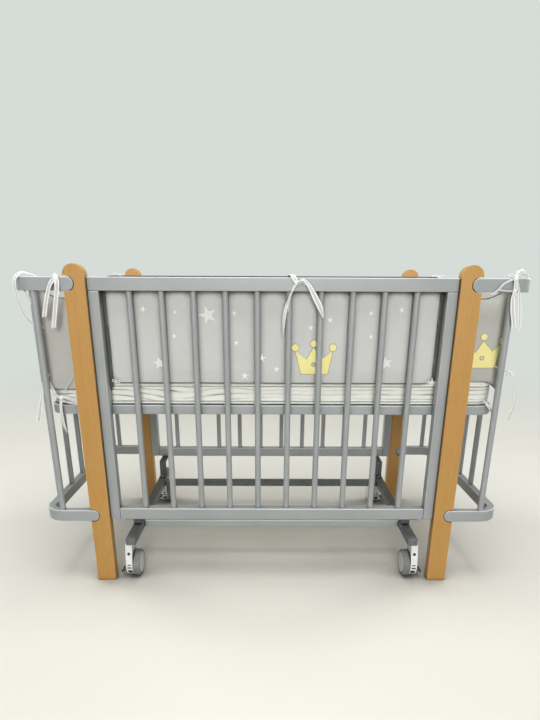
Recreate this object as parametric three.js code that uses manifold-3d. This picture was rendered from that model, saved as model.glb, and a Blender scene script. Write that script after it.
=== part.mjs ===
// A convertible crib: four upright leg boards, a spindle panel at the front and at the back, and two
// bent end rails with spindles that lie in notches of the legs. A wheel frame with four castors hangs
// under it. Millimetres, +Z up, the long side along X, the front at -Y, the floor at Z = 0.
import * as THREE from 'three';
import { mergeVertices } from 'three/addons/utils/BufferGeometryUtils.js';
import Module from 'manifold-3d';

const wasm = await Module();
wasm.setup();

// Overall sizes
const crib_length = 1300;
const crib_width = 620;
const leg_height = 880;

// Clearances and cuts
const fit = 0.3;
const overrun = 2;
const sink = 1;

// Leg boards
const leg_width = 53;
const leg_thickness = 28;
const leg_edge = 2.5;
const head_room = 3.5;

// Rails and spindles
const rail_height = 33;
const rail_edge = 2;
const bottom_rail_z = 193;
const spindle_diameter = 16;
const mortise_depth = 12;

// Side panels
const panel_depth = 27;
const panel_setback = 12;
const stile_width = 27;
const side_spindle_count = 10;

// Bent end rails
const end_reach = 135;
const end_rail_thickness = 20;
const end_rail_corner = 56;
const end_rail_proud = 1.5;
const notch_depth = 25;
const end_side_spindle_count = 5;

// Mattress base
const base_z = 496;
const base_height = 25;
const base_end_room = 20;
const base_corner = 50;
const base_frame_width = 26;
const base_board_thickness = 9;
const base_rabbet = 13;
const base_edge = 2;

// Mattress
const mattress_end_room = 6;
const mattress_side_room = 2.2;
const mattress_corner = 48;
const mattress_side_height = 62;
const mattress_crown = 8;
const mattress_side_roll = 16;
const mattress_crown_roll = 110;
const mattress_draw = 5;

// Bumper pads
const bumper_rise = 3;
const bumper_thickness = 22;
const bumper_gap = 4;
const bumper_corner = 16;
const bumper_roll = 34;
const bumper_lift = 1;
const end_bumper_below_top = 17;
const end_bumper_drop = 24;
const end_bumper_thickness = 14;
const end_bumper_corner = 44;

// Wheel frame
const bar_inset = 10;
const bar_width = 28;
const bar_height = 22;
const bar_z = 112;
const bar_recess = 4.5;
const bar_edge = 2;
const stretcher_inset = 124;
const stretcher_width = 22;

// Brackets from the bottom rails to the wheel frame
const bracket_width = 24;
const bracket_thickness = 3;
const bracket_flange = 22;
const bracket_reach = 62;
const bracket_foot = 24;

// Castors
const stem_inset = 26;
const stem_diameter = 10;
const stem_length = 16;
const wheel_diameter = 78;
const wheel_width = 19;
const wheel_shoulder = 4;
const wheel_lift = 0.8;
const castor_trail = 8;
const axle_diameter = 8;
const axle_length = 15;
const hub_cap_diameter = 58;
const hub_cap_height = 1.5;
const wheel_rim_step = 1.2;
const housing_width = 20;
const housing_neck_width = 30;
const housing_disc_diameter = 70;
const housing_edge = 2;
const collar_diameter = 20;
const collar_height = 6;
const housing_hole_diameter = 5;
const housing_hole_drop = 26;
const housing_hole_depth = 8;
const pedal_length = 20;
const pedal_reach = 15;
const pedal_thickness = 5;
const pedal_pivot_diameter = 7;
const pedal_z = 23;

// Ribbon ties
const ribbon_width = 9;
const ribbon_thickness = 1.2;
const ribbon_step = 2;
const knot_width = 11;
const knot_height = 14;
const knot_depth = 6;
const knot_edge = 1.5;
const knot_corner = 4;
const tie_room = 2;
const front_tie_tail = 125;
const corner_tie_tail = 116;
const leg_tie_room = 17;
const low_tie_lift = 72;
const low_tie_drop = 38;
const right_tie_lift = 85;
const low_tie_tail = 104;

// Places that follow from the sizes
const half_length = crib_length / 2;
const half_width = crib_width / 2;
const leg_gap = crib_length - 2 * (end_reach + leg_width);
const top_rail_z = leg_height - leg_width / 2 - head_room - rail_height;
const leg_face = half_width - end_rail_proud;
const leg_middle_y = leg_face - leg_thickness / 2;
const leg_middle_x = (leg_gap + leg_width) / 2;
const panel_face = leg_face - panel_setback;
const panel_inner = panel_face - panel_depth;
const panel_middle = panel_face - panel_depth / 2;
const panel_half = leg_gap / 2 - fit;
const stile_inner = panel_half - stile_width;
const stile_middle = panel_half - stile_width / 2;
const bottom_rail_top = bottom_rail_z + rail_height;
const top_rail_top = top_rail_z + rail_height;
const spindle_radius = spindle_diameter / 2;
const side_spindle_pitch = (2 * stile_inner + spindle_diameter) / (side_spindle_count + 1);
const stub_end_x = leg_gap / 2 + leg_width - notch_depth;
const corner_x = half_length - end_rail_corner;
const corner_y = half_width - end_rail_corner;
const end_middle_x = half_length - end_rail_thickness / 2;
const stub_middle_y = half_width - end_rail_thickness / 2;
const end_spindle_pitch = 2 * stub_middle_y / (end_side_spindle_count + 1);
const base_half_x = half_length - end_rail_thickness - base_end_room;
const base_half_y = panel_inner - fit;
const base_top = base_z + base_height;
const mattress_z = base_top + fit;
const mattress_top = mattress_z + mattress_side_height;
const mattress_half_x = base_half_x - mattress_end_room;
const mattress_half_y = panel_inner - fit - end_bumper_thickness - mattress_side_room;
const bumper_y = panel_inner - fit;
const bumper_z = mattress_top + bumper_lift;
const bumper_length = 2 * (stile_inner - bumper_gap);
const bumper_height = top_rail_top + bumper_rise - bumper_z;
const end_bumper_x = half_length - end_rail_thickness - fit;
const end_bumper_y = bumper_y;
const end_bumper_z = bumper_z - end_bumper_drop;
const end_bumper_height = top_rail_top - end_bumper_below_top - end_bumper_z;
const bar_middle_x = stile_inner - bar_inset - bar_width / 2;
const bar_length = 2 * (leg_face - bar_recess);
const bar_top = bar_z + bar_height;
const stretcher_y = bar_length / 2 - stretcher_inset - stretcher_width / 2;
const stem_y = bar_length / 2 - stem_inset;
const wheel_radius = wheel_diameter / 2;
const axle_z = wheel_radius + wheel_lift;
const castor_top = bar_z - fit;

// Finishes
const finish = (color, roughness, metalness = 0) =>
  new THREE.MeshStandardMaterial({ color, roughness, metalness });
const wood = finish(0xb98b4a, 0.5);
const grey_paint = finish(0xa9adac, 0.45);
const plywood = finish(0xcdb287, 0.6);
const mattress_cloth = finish(0xefeee6, 0.9);
const bumper_cloth = finish(0xc9c9c6, 0.9);
const ribbon_cloth = finish(0xf2f2ee, 0.85);
const black_steel = finish(0x24262a, 0.45, 0.8);
const white_plastic = finish(0xeeeeea, 0.35);
const grey_rubber = finish(0x727874, 0.7);
const black_plastic = finish(0x1c1d1f, 0.5);

const crib = new THREE.Group();

function add(name, geometry, material, place = {}) {
  const mesh = new THREE.Mesh(geometry, material.clone());
  mesh.name = name;
  mesh.position.set(place.x ?? 0, place.y ?? 0, place.z ?? 0);
  mesh.rotation.z = place.turn ?? 0;
  crib.add(mesh);
}

// The volume that a closed geometry holds, negative where its faces point in
function held_volume(positions, index) {
  const corner = (k) => new THREE.Vector3().fromArray(positions, 3 * index[k]);
  let sum = 0;
  for (let k = 0; k < index.length; k += 3) {
    sum += corner(k).dot(corner(k + 1).cross(corner(k + 2)));
  }
  return sum / 6;
}

// Turns three.js geometry into a solid for joining and cutting
function solid(geometry) {
  const bare = geometry.clone();
  bare.deleteAttribute('normal');
  bare.deleteAttribute('uv');
  const merged = mergeVertices(bare, 1e-4);
  const vertProperties = new Float32Array(merged.attributes.position.array);
  const triVerts = new Uint32Array(merged.index.array);
  if (held_volume(vertProperties, triVerts) < 0) {
    triVerts.reverse();
  }
  return new wasm.Manifold(new wasm.Mesh({ numProp: 3, vertProperties, triVerts }));
}

// Turns a joined or cut solid back into three.js geometry
function shaped(manifold) {
  const mesh = manifold.getMesh();
  const geometry = new THREE.BufferGeometry();
  geometry.setAttribute('position', new THREE.BufferAttribute(mesh.vertProperties, 3));
  geometry.setIndex(new THREE.BufferAttribute(mesh.triVerts, 1));
  geometry.computeVertexNormals();
  return geometry;
}

// The frame in which an outline is drawn for each direction that it is extruded in
const outline_frames = {
  x: new THREE.Matrix4().makeBasis(
    new THREE.Vector3(0, 1, 0), new THREE.Vector3(0, 0, 1), new THREE.Vector3(1, 0, 0)),
  y: new THREE.Matrix4().makeBasis(
    new THREE.Vector3(-1, 0, 0), new THREE.Vector3(0, 0, 1), new THREE.Vector3(0, 1, 0)),
  z: new THREE.Matrix4(),
};

// An outline extruded from one level to another along an axis, with its long edges rounded. Outlines along
// x are drawn in (y, z), along z in (x, y), and along y in (-x, z).
function prism(outline, axis, from, to, edge = 0, curveSegments = 8) {
  const geometry = new THREE.ExtrudeGeometry(outline, {
    depth: to - from - 2 * edge,
    bevelEnabled: edge > 0,
    bevelThickness: edge,
    bevelSize: edge,
    bevelOffset: -edge,
    bevelSegments: 1,
    curveSegments,
  });
  geometry.translate(0, 0, from + edge);
  geometry.applyMatrix4(outline_frames[axis]);
  return geometry;
}

function rounded_rectangle(left, right, low, high, radius) {
  const outline = new THREE.Shape();
  outline.moveTo(left + radius, low);
  outline.absarc(right - radius, low + radius, radius, -Math.PI / 2, 0);
  outline.absarc(right - radius, high - radius, radius, 0, Math.PI / 2);
  outline.absarc(left + radius, high - radius, radius, Math.PI / 2, Math.PI);
  outline.absarc(left + radius, low + radius, radius, Math.PI, 1.5 * Math.PI);
  return outline;
}

function cylinder(diameter, length, sides) {
  return new THREE.CylinderGeometry(diameter / 2, diameter / 2, length, sides);
}

function upright_cylinder(diameter, length, sides) {
  return cylinder(diameter, length, sides).rotateX(Math.PI / 2);
}

// A rail of rounded section along x, y or z, centred on its own axis
function bar(axis, length, across, high, edge) {
  const section = rounded_rectangle(-across / 2, across / 2, -high / 2, high / 2, edge);
  return prism(section, axis, -length / 2, length / 2, 0, 2);
}

// Leg boards: round heads, and a round-ended notch for each end rail
function leg_geometry() {
  const half = leg_width / 2;
  const outer = half;
  const notch_radius = rail_height / 2 + fit;
  const notch_centre = outer - notch_depth + rail_height / 2;
  const outline = new THREE.Shape();
  outline.moveTo(-half, 0);
  outline.lineTo(outer, 0);
  for (const rail_z of [bottom_rail_z, top_rail_z]) {
    const middle = rail_z + rail_height / 2;
    outline.lineTo(outer, middle - notch_radius);
    outline.lineTo(notch_centre, middle - notch_radius);
    outline.absarc(notch_centre, middle, notch_radius, -Math.PI / 2, Math.PI / 2, true);
    outline.lineTo(outer, middle + notch_radius);
  }
  outline.lineTo(outer, leg_height - half);
  outline.absarc(0, leg_height - half, half, 0, Math.PI);
  return prism(outline, 'y', -leg_thickness / 2, leg_thickness / 2, leg_edge, 6);
}

function add_legs() {
  const leg = leg_geometry();
  for (const [side, x] of [['left', -leg_middle_x], ['right', leg_middle_x]]) {
    const turn = side === 'left' ? 0 : Math.PI;
    add(`leg_front_${side}`, leg, wood, { x, y: -leg_middle_y, turn });
    add(`leg_back_${side}`, leg, wood, { x, y: leg_middle_y, turn });
  }
}

// Mortises for spindle ends, let into a rail from the side that faces the spindles
const mortise_sides = 8;
const mortise_diameter = (spindle_diameter + 2 * fit) / Math.cos(Math.PI / mortise_sides);
const spindle_sides = 16;

function with_mortises(rail, places, face_z, into) {
  let piece = solid(rail);
  const length = mortise_depth + overrun;
  const middle = face_z + into * (mortise_depth + fit - length / 2);
  for (const [x, y] of places) {
    const hole = upright_cylinder(mortise_diameter, length, mortise_sides).translate(x, y, middle);
    piece = piece.subtract(solid(hole));
  }
  return shaped(piece);
}

function side_spindle_x(k) {
  return (k - (side_spindle_count - 1) / 2) * side_spindle_pitch;
}

// Side panels: a top rail over two stiles, and a bottom rail between them
const spindle_low = bottom_rail_top - mortise_depth;
const spindle_high = top_rail_z + mortise_depth;
const spindle_length = spindle_high - spindle_low;
const spindle_middle = (spindle_high + spindle_low) / 2;
const side_counts = Array.from({ length: side_spindle_count }, (_, k) => k);

function side_rail(length, z) {
  return bar('x', length, panel_depth, rail_height, rail_edge).translate(0, 0, z + rail_height / 2);
}

function add_side_panel(side, y) {
  const places = side_counts.map((k) => [side_spindle_x(k), 0]);
  const top = with_mortises(side_rail(2 * panel_half, top_rail_z), places, top_rail_z, 1);
  add(`${side}_top_rail`, top, grey_paint, { y });
  const low_rail = side_rail(2 * (stile_inner - fit), bottom_rail_z);
  const stile_height = top_rail_z - fit - bottom_rail_z;
  const stile = bar('z', stile_height, stile_width, panel_depth, rail_edge);
  const stile_z = bottom_rail_z + stile_height / 2;
  add(`${side}_stile_left`, stile, grey_paint, { x: -stile_middle, y, z: stile_z });
  add(`${side}_stile_right`, stile, grey_paint, { x: stile_middle, y, z: stile_z });
  return { places, low_rail };
}

function add_front_panel() {
  const y = -panel_middle;
  const { places, low_rail } = add_side_panel('front', y);
  add('front_bottom_rail', with_mortises(low_rail, places, bottom_rail_top, -1), grey_paint, { y });
  const spindle = upright_cylinder(spindle_diameter, spindle_length, spindle_sides);
  for (const k of side_counts) {
    const name = `front_spindle_${String(k + 1).padStart(2, '0')}`;
    add(name, spindle, grey_paint, { x: side_spindle_x(k), y, z: spindle_middle });
  }
}

// The back panel's bottom rail and its spindles are glued up as one comb
function add_back_panel() {
  const y = panel_middle;
  const { low_rail } = add_side_panel('back', y);
  let comb = solid(low_rail);
  for (const k of side_counts) {
    const spindle = upright_cylinder(spindle_diameter, spindle_length, spindle_sides);
    comb = comb.add(solid(spindle.translate(side_spindle_x(k), 0, spindle_middle)));
  }
  add('back_bottom_rail_and_spindles', shaped(comb), grey_paint, { y });
}

// End rails: bent strips, round-ended where they lie in the legs' notches
function end_rail_solid(z) {
  const inner = end_rail_corner - end_rail_thickness;
  const plan = new THREE.Shape();
  plan.moveTo(-stub_end_x, -half_width);
  plan.absarc(-corner_x, -corner_y, end_rail_corner, -Math.PI / 2, -Math.PI, true);
  plan.absarc(-corner_x, corner_y, end_rail_corner, Math.PI, Math.PI / 2, true);
  plan.lineTo(-stub_end_x, half_width);
  plan.lineTo(-stub_end_x, half_width - end_rail_thickness);
  plan.absarc(-corner_x, corner_y, inner, Math.PI / 2, Math.PI);
  plan.absarc(-corner_x, -corner_y, inner, -Math.PI, -Math.PI / 2);
  plan.lineTo(-stub_end_x, -(half_width - end_rail_thickness));
  const strip = prism(plan, 'z', z, z + rail_height, rail_edge, 6);
  const radius = rail_height / 2;
  const elevation = new THREE.Shape();
  elevation.moveTo(half_length + overrun, z - overrun);
  elevation.lineTo(half_length + overrun, z + rail_height + overrun);
  elevation.lineTo(stub_end_x + radius, z + rail_height + overrun);
  elevation.lineTo(stub_end_x + radius, z + rail_height);
  elevation.absarc(stub_end_x + radius, z + radius, radius, Math.PI / 2, 1.5 * Math.PI);
  elevation.lineTo(stub_end_x + radius, z - overrun);
  const limit = prism(elevation, 'y', -half_width - overrun, half_width + overrun);
  return solid(strip).intersect(solid(limit));
}

// The corner spindles stand where the stubs start to bend, the others along the end
function end_spindle_places() {
  const along = Array.from({ length: end_side_spindle_count }, (_, k) =>
    [-end_middle_x, (k - (end_side_spindle_count - 1) / 2) * end_spindle_pitch]);
  return [[-corner_x, -stub_middle_y], ...along, [-corner_x, stub_middle_y]];
}

function add_ends() {
  const places = end_spindle_places();
  const top = with_mortises(shaped(end_rail_solid(top_rail_z)), places, top_rail_z, 1);
  let comb = end_rail_solid(bottom_rail_z);
  for (const [x, y] of places) {
    const spindle = upright_cylinder(spindle_diameter, spindle_length, spindle_sides);
    comb = comb.add(solid(spindle.translate(x, y, spindle_middle)));
  }
  const bottom = shaped(comb);
  for (const [side, turn] of [['left', 0], ['right', Math.PI]]) {
    add(`${side}_end_top_rail`, top, grey_paint, { turn });
    add(`${side}_end_bottom_rail_and_spindles`, bottom, grey_paint, { turn });
  }
}

// The mattress base: a rabbeted frame bolted between the stiles, and a board lying in its rabbet
function base_outline(inset) {
  const x = base_half_x - inset;
  const y = base_half_y - inset;
  return rounded_rectangle(-x, x, -y, y, base_corner - inset);
}

function add_base() {
  const outer = base_outline(0);
  outer.holes.push(base_outline(base_frame_width));
  const frame = solid(prism(outer, 'z', base_z, base_top, base_edge, 4));
  const rabbet_z = base_top - base_board_thickness - fit;
  const rabbet = prism(base_outline(base_rabbet), 'z', rabbet_z, base_top + overrun, 0, 4);
  add('base_frame', shaped(frame.subtract(solid(rabbet))), grey_paint);
  const board = prism(base_outline(base_rabbet + fit), 'z', rabbet_z + fit, base_top, 0, 4);
  add('base_board', board, plywood);
}

// A closed form built from rings of equal count, with its first and last ring filled in
function ringed(rings, cap_index) {
  const count = rings[0].length;
  const positions = rings.flat(2);
  const index = [];
  for (let r = 0; r + 1 < rings.length; r += 1) {
    for (let k = 0; k < count; k += 1) {
      const a = r * count + k;
      const b = r * count + (k + 1) % count;
      index.push(a, b, b + count, a, b + count, a + count);
    }
  }
  const last = (rings.length - 1) * count;
  for (const [a, b, c] of cap_index) {
    index.push(c, b, a, last + a, last + b, last + c);
  }
  const geometry = new THREE.BufferGeometry();
  geometry.setAttribute('position', new THREE.Float32BufferAttribute(positions, 3));
  geometry.setIndex(index);
  geometry.computeVertexNormals();
  return geometry;
}

// Points round a rounded rectangle in plan, four corners of equal count
function plan_ring(half_x, half_y, radius, z) {
  const steps = 5;
  const ring = [];
  for (const [sx, sy, start] of [[1, -1, -0.5], [1, 1, 0], [-1, 1, 0.5], [-1, -1, 1]]) {
    for (let k = 0; k <= steps; k += 1) {
      const angle = (start + 0.5 * k / steps) * Math.PI;
      ring.push([
        sx * (half_x - radius) + radius * Math.cos(angle),
        sy * (half_y - radius) + radius * Math.sin(angle),
        z,
      ]);
    }
  }
  return ring;
}

// The mattress: rolled edges top and bottom, sides drawn in at their seams and a crowned top
function add_mattress() {
  const side_profile_shares = [[1, 0], [0.3, 0.08], [0, 0.22]];
  const roll = (share) => share * mattress_side_roll;
  const low = side_profile_shares.map(([inset, up]) => [roll(inset), up * mattress_side_height]);
  const waist = [mattress_draw, mattress_side_height / 2];
  const high = low.map(([inset, up]) => [inset, mattress_side_height - up]).reverse();
  const crown_shares = [[0.35, 0.45], [0.7, 0.85], [1, 1]];
  const crown = crown_shares.map(([inset, up]) =>
    [mattress_side_roll + inset * mattress_crown_roll, mattress_side_height + up * mattress_crown]);
  const rings = [...low, waist, ...high, ...crown].map(([inset, up]) =>
    plan_ring(mattress_half_x - inset, mattress_half_y - inset,
      Math.max(mattress_corner - inset, mattress_corner / 4), mattress_z + up));
  const flat = rings[0].map(([x, y]) => new THREE.Vector2(x, y));
  const cap = THREE.ShapeUtils.triangulateShape(flat, []);
  add('mattress', ringed(rings, cap), mattress_cloth);
}

// How full a pad is at a distance from its seam, as a share of its thickness
function fullness(distance, roll) {
  const short = 1 - Math.min(distance / roll, 1);
  return Math.sqrt(1 - short * short);
}

// Distances along a pad: close together in its rounded corners, then even in between
function pad_stations(length, corner, middle) {
  const steps = 4;
  const near = Array.from({ length: steps + 1 }, (_, k) =>
    corner * (1 - Math.cos(0.5 * Math.PI * k / steps)));
  const inner = middle.filter((d) => d > corner && d < length - corner);
  return [...near, ...inner, ...near.map((d) => length - d).reverse()];
}

// A padded panel: an outer and an inner skin that meet in a seam all round its rounded outline.
// at(distance, up, depth) places a point by its distance along the pad, its height and its depth.
const pad_row_shares = [0, 0.035, 0.12, 0.3, 0.7, 0.88, 0.965, 1];
const seam_depth_share = 0.1;

function pad(stations, height, thickness, corner, roll, at) {
  const length = stations[stations.length - 1];
  const rows = pad_row_shares.length;
  const positions = [];
  const skins = [[], []];
  for (const side of [0, 1]) {
    stations.forEach((distance, i) => {
      const edge = Math.min(distance, length - distance);
      const away = corner - Math.min(edge, corner);
      const low = corner - Math.sqrt(corner * corner - away * away);
      pad_row_shares.forEach((share, j) => {
        const border = i === 0 || i === stations.length - 1 || j === 0 || j === rows - 1;
        if (side === 1 && border) {
          skins[1].push(skins[0][i * rows + j]);
          return;
        }
        const up = low + share * (height - 2 * low);
        const full = fullness(edge, roll) * fullness(Math.min(up, height - up), roll);
        const swell = side === 0 ? -seam_depth_share : 1 - seam_depth_share;
        skins[side].push(positions.length / 3);
        positions.push(...at(distance, up, thickness * (seam_depth_share + swell * full)));
      });
    });
  }
  const index = [];
  for (let i = 0; i + 1 < stations.length; i += 1) {
    for (let j = 0; j + 1 < rows; j += 1) {
      const [a, b, c, d] = [i * rows + j, (i + 1) * rows + j, (i + 1) * rows + j + 1, i * rows + j + 1];
      const [p, q] = skins;
      index.push(p[a], p[b], p[c], p[a], p[c], p[d], q[c], q[b], q[a], q[d], q[c], q[a]);
    }
  }
  if (held_volume(positions, index) < 0) {
    index.reverse();
  }
  const geometry = new THREE.BufferGeometry();
  geometry.setAttribute('position', new THREE.Float32BufferAttribute(positions, 3));
  geometry.setIndex(index);
  geometry.computeVertexNormals();
  return geometry;
}

// The path of an end bumper in plan: a return, a corner, the end, a corner and a return
function end_bumper_path() {
  const x = end_bumper_x;
  const y = end_bumper_y;
  const r = end_bumper_corner;
  const reach = x - r - stile_inner;
  const arc = r * Math.PI / 2;
  const side = 2 * (y - r);
  const stops = [reach, reach + arc, reach + arc + side, reach + 2 * arc + side];
  const length = stops[3] + reach;
  const place = (distance) => {
    if (distance < stops[0]) {
      return [-stile_inner - distance, -y, 0, 1];
    }
    if (distance < stops[1]) {
      const angle = (distance - stops[0]) / r;
      return [r - x - r * Math.sin(angle), r - y - r * Math.cos(angle), Math.sin(angle), Math.cos(angle)];
    }
    if (distance < stops[2]) {
      return [-x, distance - stops[1] - side / 2, 1, 0];
    }
    if (distance < stops[3]) {
      const angle = (distance - stops[2]) / r;
      return [r - x - r * Math.cos(angle), y - r + r * Math.sin(angle), Math.cos(angle), -Math.sin(angle)];
    }
    return [distance - length - stile_inner, y, 0, -1];
  };
  return { length, stops, place };
}

function add_bumpers() {
  const flat_shares = [0.06, 0.2, 0.35, 0.5, 0.65, 0.8, 0.94];
  const flat = pad_stations(bumper_length, bumper_corner, flat_shares.map((s) => s * bumper_length));
  const straight = pad(flat, bumper_height, bumper_thickness, bumper_corner, bumper_roll,
    (distance, up, depth) => [distance - bumper_length / 2, -bumper_y + depth, bumper_z + up]);
  add('bumper_front', straight, bumper_cloth);
  add('bumper_back', straight, bumper_cloth, { turn: Math.PI });
  const { length, stops, place } = end_bumper_path();
  const bend_steps = 5;
  const bend = (start) => Array.from({ length: bend_steps + 1 }, (_, k) =>
    start + k * (stops[1] - stops[0]) / bend_steps);
  const end_shares = [0.2, 0.4, 0.6, 0.8];
  const end = end_shares.map((s) => stops[1] + s * (stops[2] - stops[1]));
  const stations = pad_stations(length, bumper_corner, [...bend(stops[0]), ...end, ...bend(stops[2])]);
  const wrap = pad(stations, end_bumper_height, end_bumper_thickness, bumper_corner, bumper_roll,
    (distance, up, depth) => {
      const [x, y, nx, ny] = place(distance);
      return [x + nx * depth, y + ny * depth, end_bumper_z + up];
    });
  add('bumper_left', wrap, bumper_cloth);
  add('bumper_right', wrap, bumper_cloth, { turn: Math.PI });
}

// The wheel frame: two bars with a castor bore near each end, and two stretchers between them
function add_wheel_frame() {
  let side_bar = solid(bar('y', bar_length, bar_width, bar_height, bar_edge));
  const bore_depth = stem_length + fit + overrun;
  for (const y of [-stem_y, stem_y]) {
    const bore = upright_cylinder(stem_diameter + 2 * fit, bore_depth, 12);
    const low = -bar_height / 2 - overrun;
    side_bar = side_bar.subtract(solid(bore.translate(0, y, low + bore_depth / 2)));
  }
  const bar_geometry = shaped(side_bar);
  const z = bar_z + bar_height / 2;
  add('wheel_frame_bar_left', bar_geometry, grey_paint, { x: -bar_middle_x, z });
  add('wheel_frame_bar_right', bar_geometry, grey_paint, { x: bar_middle_x, z });
  const stretcher_length = 2 * bar_middle_x - bar_width - 2 * fit;
  const stretcher = bar('x', stretcher_length, stretcher_width, bar_height, bar_edge);
  add('wheel_frame_stretcher_front', stretcher, grey_paint, { y: -stretcher_y, z });
  add('wheel_frame_stretcher_back', stretcher, grey_paint, { y: stretcher_y, z });
}

// Cranked steel brackets: screwed under a bottom rail, bent down, and screwed on a wheel frame bar
function add_brackets() {
  const high = bottom_rail_z - fit;
  const low = bar_top + fit;
  const flange_y = -panel_inner - bracket_flange;
  const bend_y = -panel_inner + bracket_reach;
  const t = bracket_thickness;
  const outline = new THREE.Shape();
  outline.moveTo(flange_y, high - t);
  outline.lineTo(bend_y - t, high - t);
  outline.lineTo(bend_y - t, low);
  outline.lineTo(bend_y + bracket_foot, low);
  outline.lineTo(bend_y + bracket_foot, low + t);
  outline.lineTo(bend_y, low + t);
  outline.lineTo(bend_y, high);
  outline.lineTo(flange_y, high);
  const bracket = prism(outline, 'x', -bracket_width / 2, bracket_width / 2);
  for (const [side, x] of [['left', -bar_middle_x], ['right', bar_middle_x]]) {
    add(`wheel_frame_bracket_front_${side}`, bracket, black_steel, { x });
    add(`wheel_frame_bracket_back_${side}`, bracket, black_steel, { x, turn: Math.PI });
  }
}

// Castors. inward is +1 where the wheel lies on the +X side of its stem and -1 where it lies on the other.
const housing_inner = fit;
const wheel_near = 2 * fit + housing_inner;

function housing_geometry(inward) {
  const neck = housing_neck_width / 2;
  const disc = housing_disc_diameter / 2;
  const outline = new THREE.Shape();
  outline.moveTo(neck, castor_top);
  outline.lineTo(-neck, castor_top);
  outline.absarc(castor_trail, axle_z, disc, Math.PI * 0.92, Math.PI * 2.2);
  const slab_from = inward > 0 ? -housing_width : -housing_inner;
  const slab = prism(outline, 'x', slab_from, slab_from + housing_width - housing_inner, housing_edge, 16);
  const stem = upright_cylinder(stem_diameter, stem_length + sink, 12);
  stem.translate(0, 0, castor_top + (stem_length - sink) / 2);
  const axle = cylinder(axle_diameter, axle_length + sink, 12).rotateZ(Math.PI / 2);
  const axle_middle = inward * ((axle_length - sink) / 2 - housing_inner);
  axle.translate(axle_middle, castor_trail, axle_z);
  const collar = upright_cylinder(collar_diameter, collar_height, 20);
  collar.translate(0, 0, castor_top - collar_height / 2);
  const hole_from = castor_trail - disc - overrun;
  const hole_to = housing_hole_depth - neck;
  const hole = cylinder(housing_hole_diameter, hole_to - hole_from, 10);
  hole.translate(-inward * housing_width / 2, (hole_from + hole_to) / 2, castor_top - housing_hole_drop);
  const joined = solid(slab).add(solid(collar)).add(solid(stem)).add(solid(axle));
  return shaped(joined.subtract(solid(hole)));
}

function wheel_geometry(inward) {
  const bore = axle_diameter / 2 + fit;
  const bore_end = axle_length + fit - wheel_near;
  const cap = hub_cap_diameter / 2;
  const profile = [
    [0, bore_end],
    [bore, bore_end],
    [bore, 0],
    [wheel_radius - wheel_shoulder, 0],
    [wheel_radius, wheel_shoulder],
    [wheel_radius, wheel_width - wheel_shoulder],
    [wheel_radius - wheel_shoulder, wheel_width],
    [cap, wheel_width - wheel_rim_step],
    [cap - wheel_rim_step, wheel_width],
    [cap / 2, wheel_width + hub_cap_height],
    [0, wheel_width + hub_cap_height],
  ].map(([radius, across]) => new THREE.Vector2(radius, across));
  const wheel = new THREE.LatheGeometry(profile, 24);
  wheel.rotateZ(-inward * Math.PI / 2);
  return shaped(solid(wheel.translate(inward * wheel_near, castor_trail, axle_z)));
}

// The brake pedal turns on a pivot that runs front to back, close outside the housing
const pedal_pivot_x = housing_width + pedal_pivot_diameter / 2 + fit;

function pedal_geometry(inward) {
  const half = pedal_thickness / 2;
  const pivot = cylinder(pedal_pivot_diameter, pedal_length, 14);
  pivot.translate(-inward * pedal_pivot_x, 0, pedal_z);
  const pad_outline = rounded_rectangle(0, pedal_reach, -half, half, half / 2);
  const pad_plate = prism(pad_outline, 'y', -pedal_length / 2, pedal_length / 2, 0, 2);
  const plate = inward > 0 ? pad_plate : pad_plate.rotateZ(Math.PI);
  plate.translate(-inward * pedal_pivot_x, 0, pedal_z);
  return shaped(solid(pivot).add(solid(plate))).translate(0, castor_trail, 0);
}

function add_castors() {
  for (const [end, y] of [['front', -stem_y], ['back', stem_y]]) {
    for (const [side, inward] of [['left', 1], ['right', -1]]) {
      const place = { x: -inward * bar_middle_x, y };
      add(`castor_housing_${end}_${side}`, housing_geometry(inward), white_plastic, place);
      add(`castor_wheel_${end}_${side}`, wheel_geometry(inward), grey_rubber, place);
      add(`brake_pedal_${end}_${side}`, pedal_geometry(inward), black_plastic, place);
    }
  }
}

// A ribbon seen from the front: a band along a smooth line through points given in (x, z)
function ribbon_band(points, y) {
  const line = new THREE.SplineCurve(points.map(([x, z]) => new THREE.Vector2(-x, z)));
  const steps = 3 * (points.length - 1);
  const sides = [[], []];
  for (let k = 0; k <= steps; k += 1) {
    const point = line.getPoint(k / steps);
    const tangent = line.getTangent(k / steps);
    const across = new THREE.Vector2(-tangent.y, tangent.x).multiplyScalar(ribbon_width / 2);
    sides[0].push(point.clone().add(across));
    sides[1].push(point.clone().sub(across));
  }
  return prism(new THREE.Shape([...sides[0], ...sides[1].reverse()]), 'y', y, y + ribbon_thickness);
}

// A knot of ribbon with its hanging tails. front is the face that it is tied against, and each tail is
// a list of steps sideways and down from the knot.
function knot_and_tails(x, z, front, tails) {
  const t = ribbon_thickness;
  const knot_front = front - knot_depth + t;
  const across = knot_width / 2;
  const up = knot_height / 2;
  const outline = rounded_rectangle(-x - across, -x + across, z - up, z + up, knot_corner);
  let knot = solid(prism(outline, 'y', knot_front, front + t, knot_edge, 2));
  tails.forEach((tail, k) => {
    const route = [[x, z], ...tail.map(([dx, down]) => [x + dx, z - down])];
    knot = knot.add(solid(ribbon_band(route, knot_front + k * ribbon_step)));
  });
  return knot;
}

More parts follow.
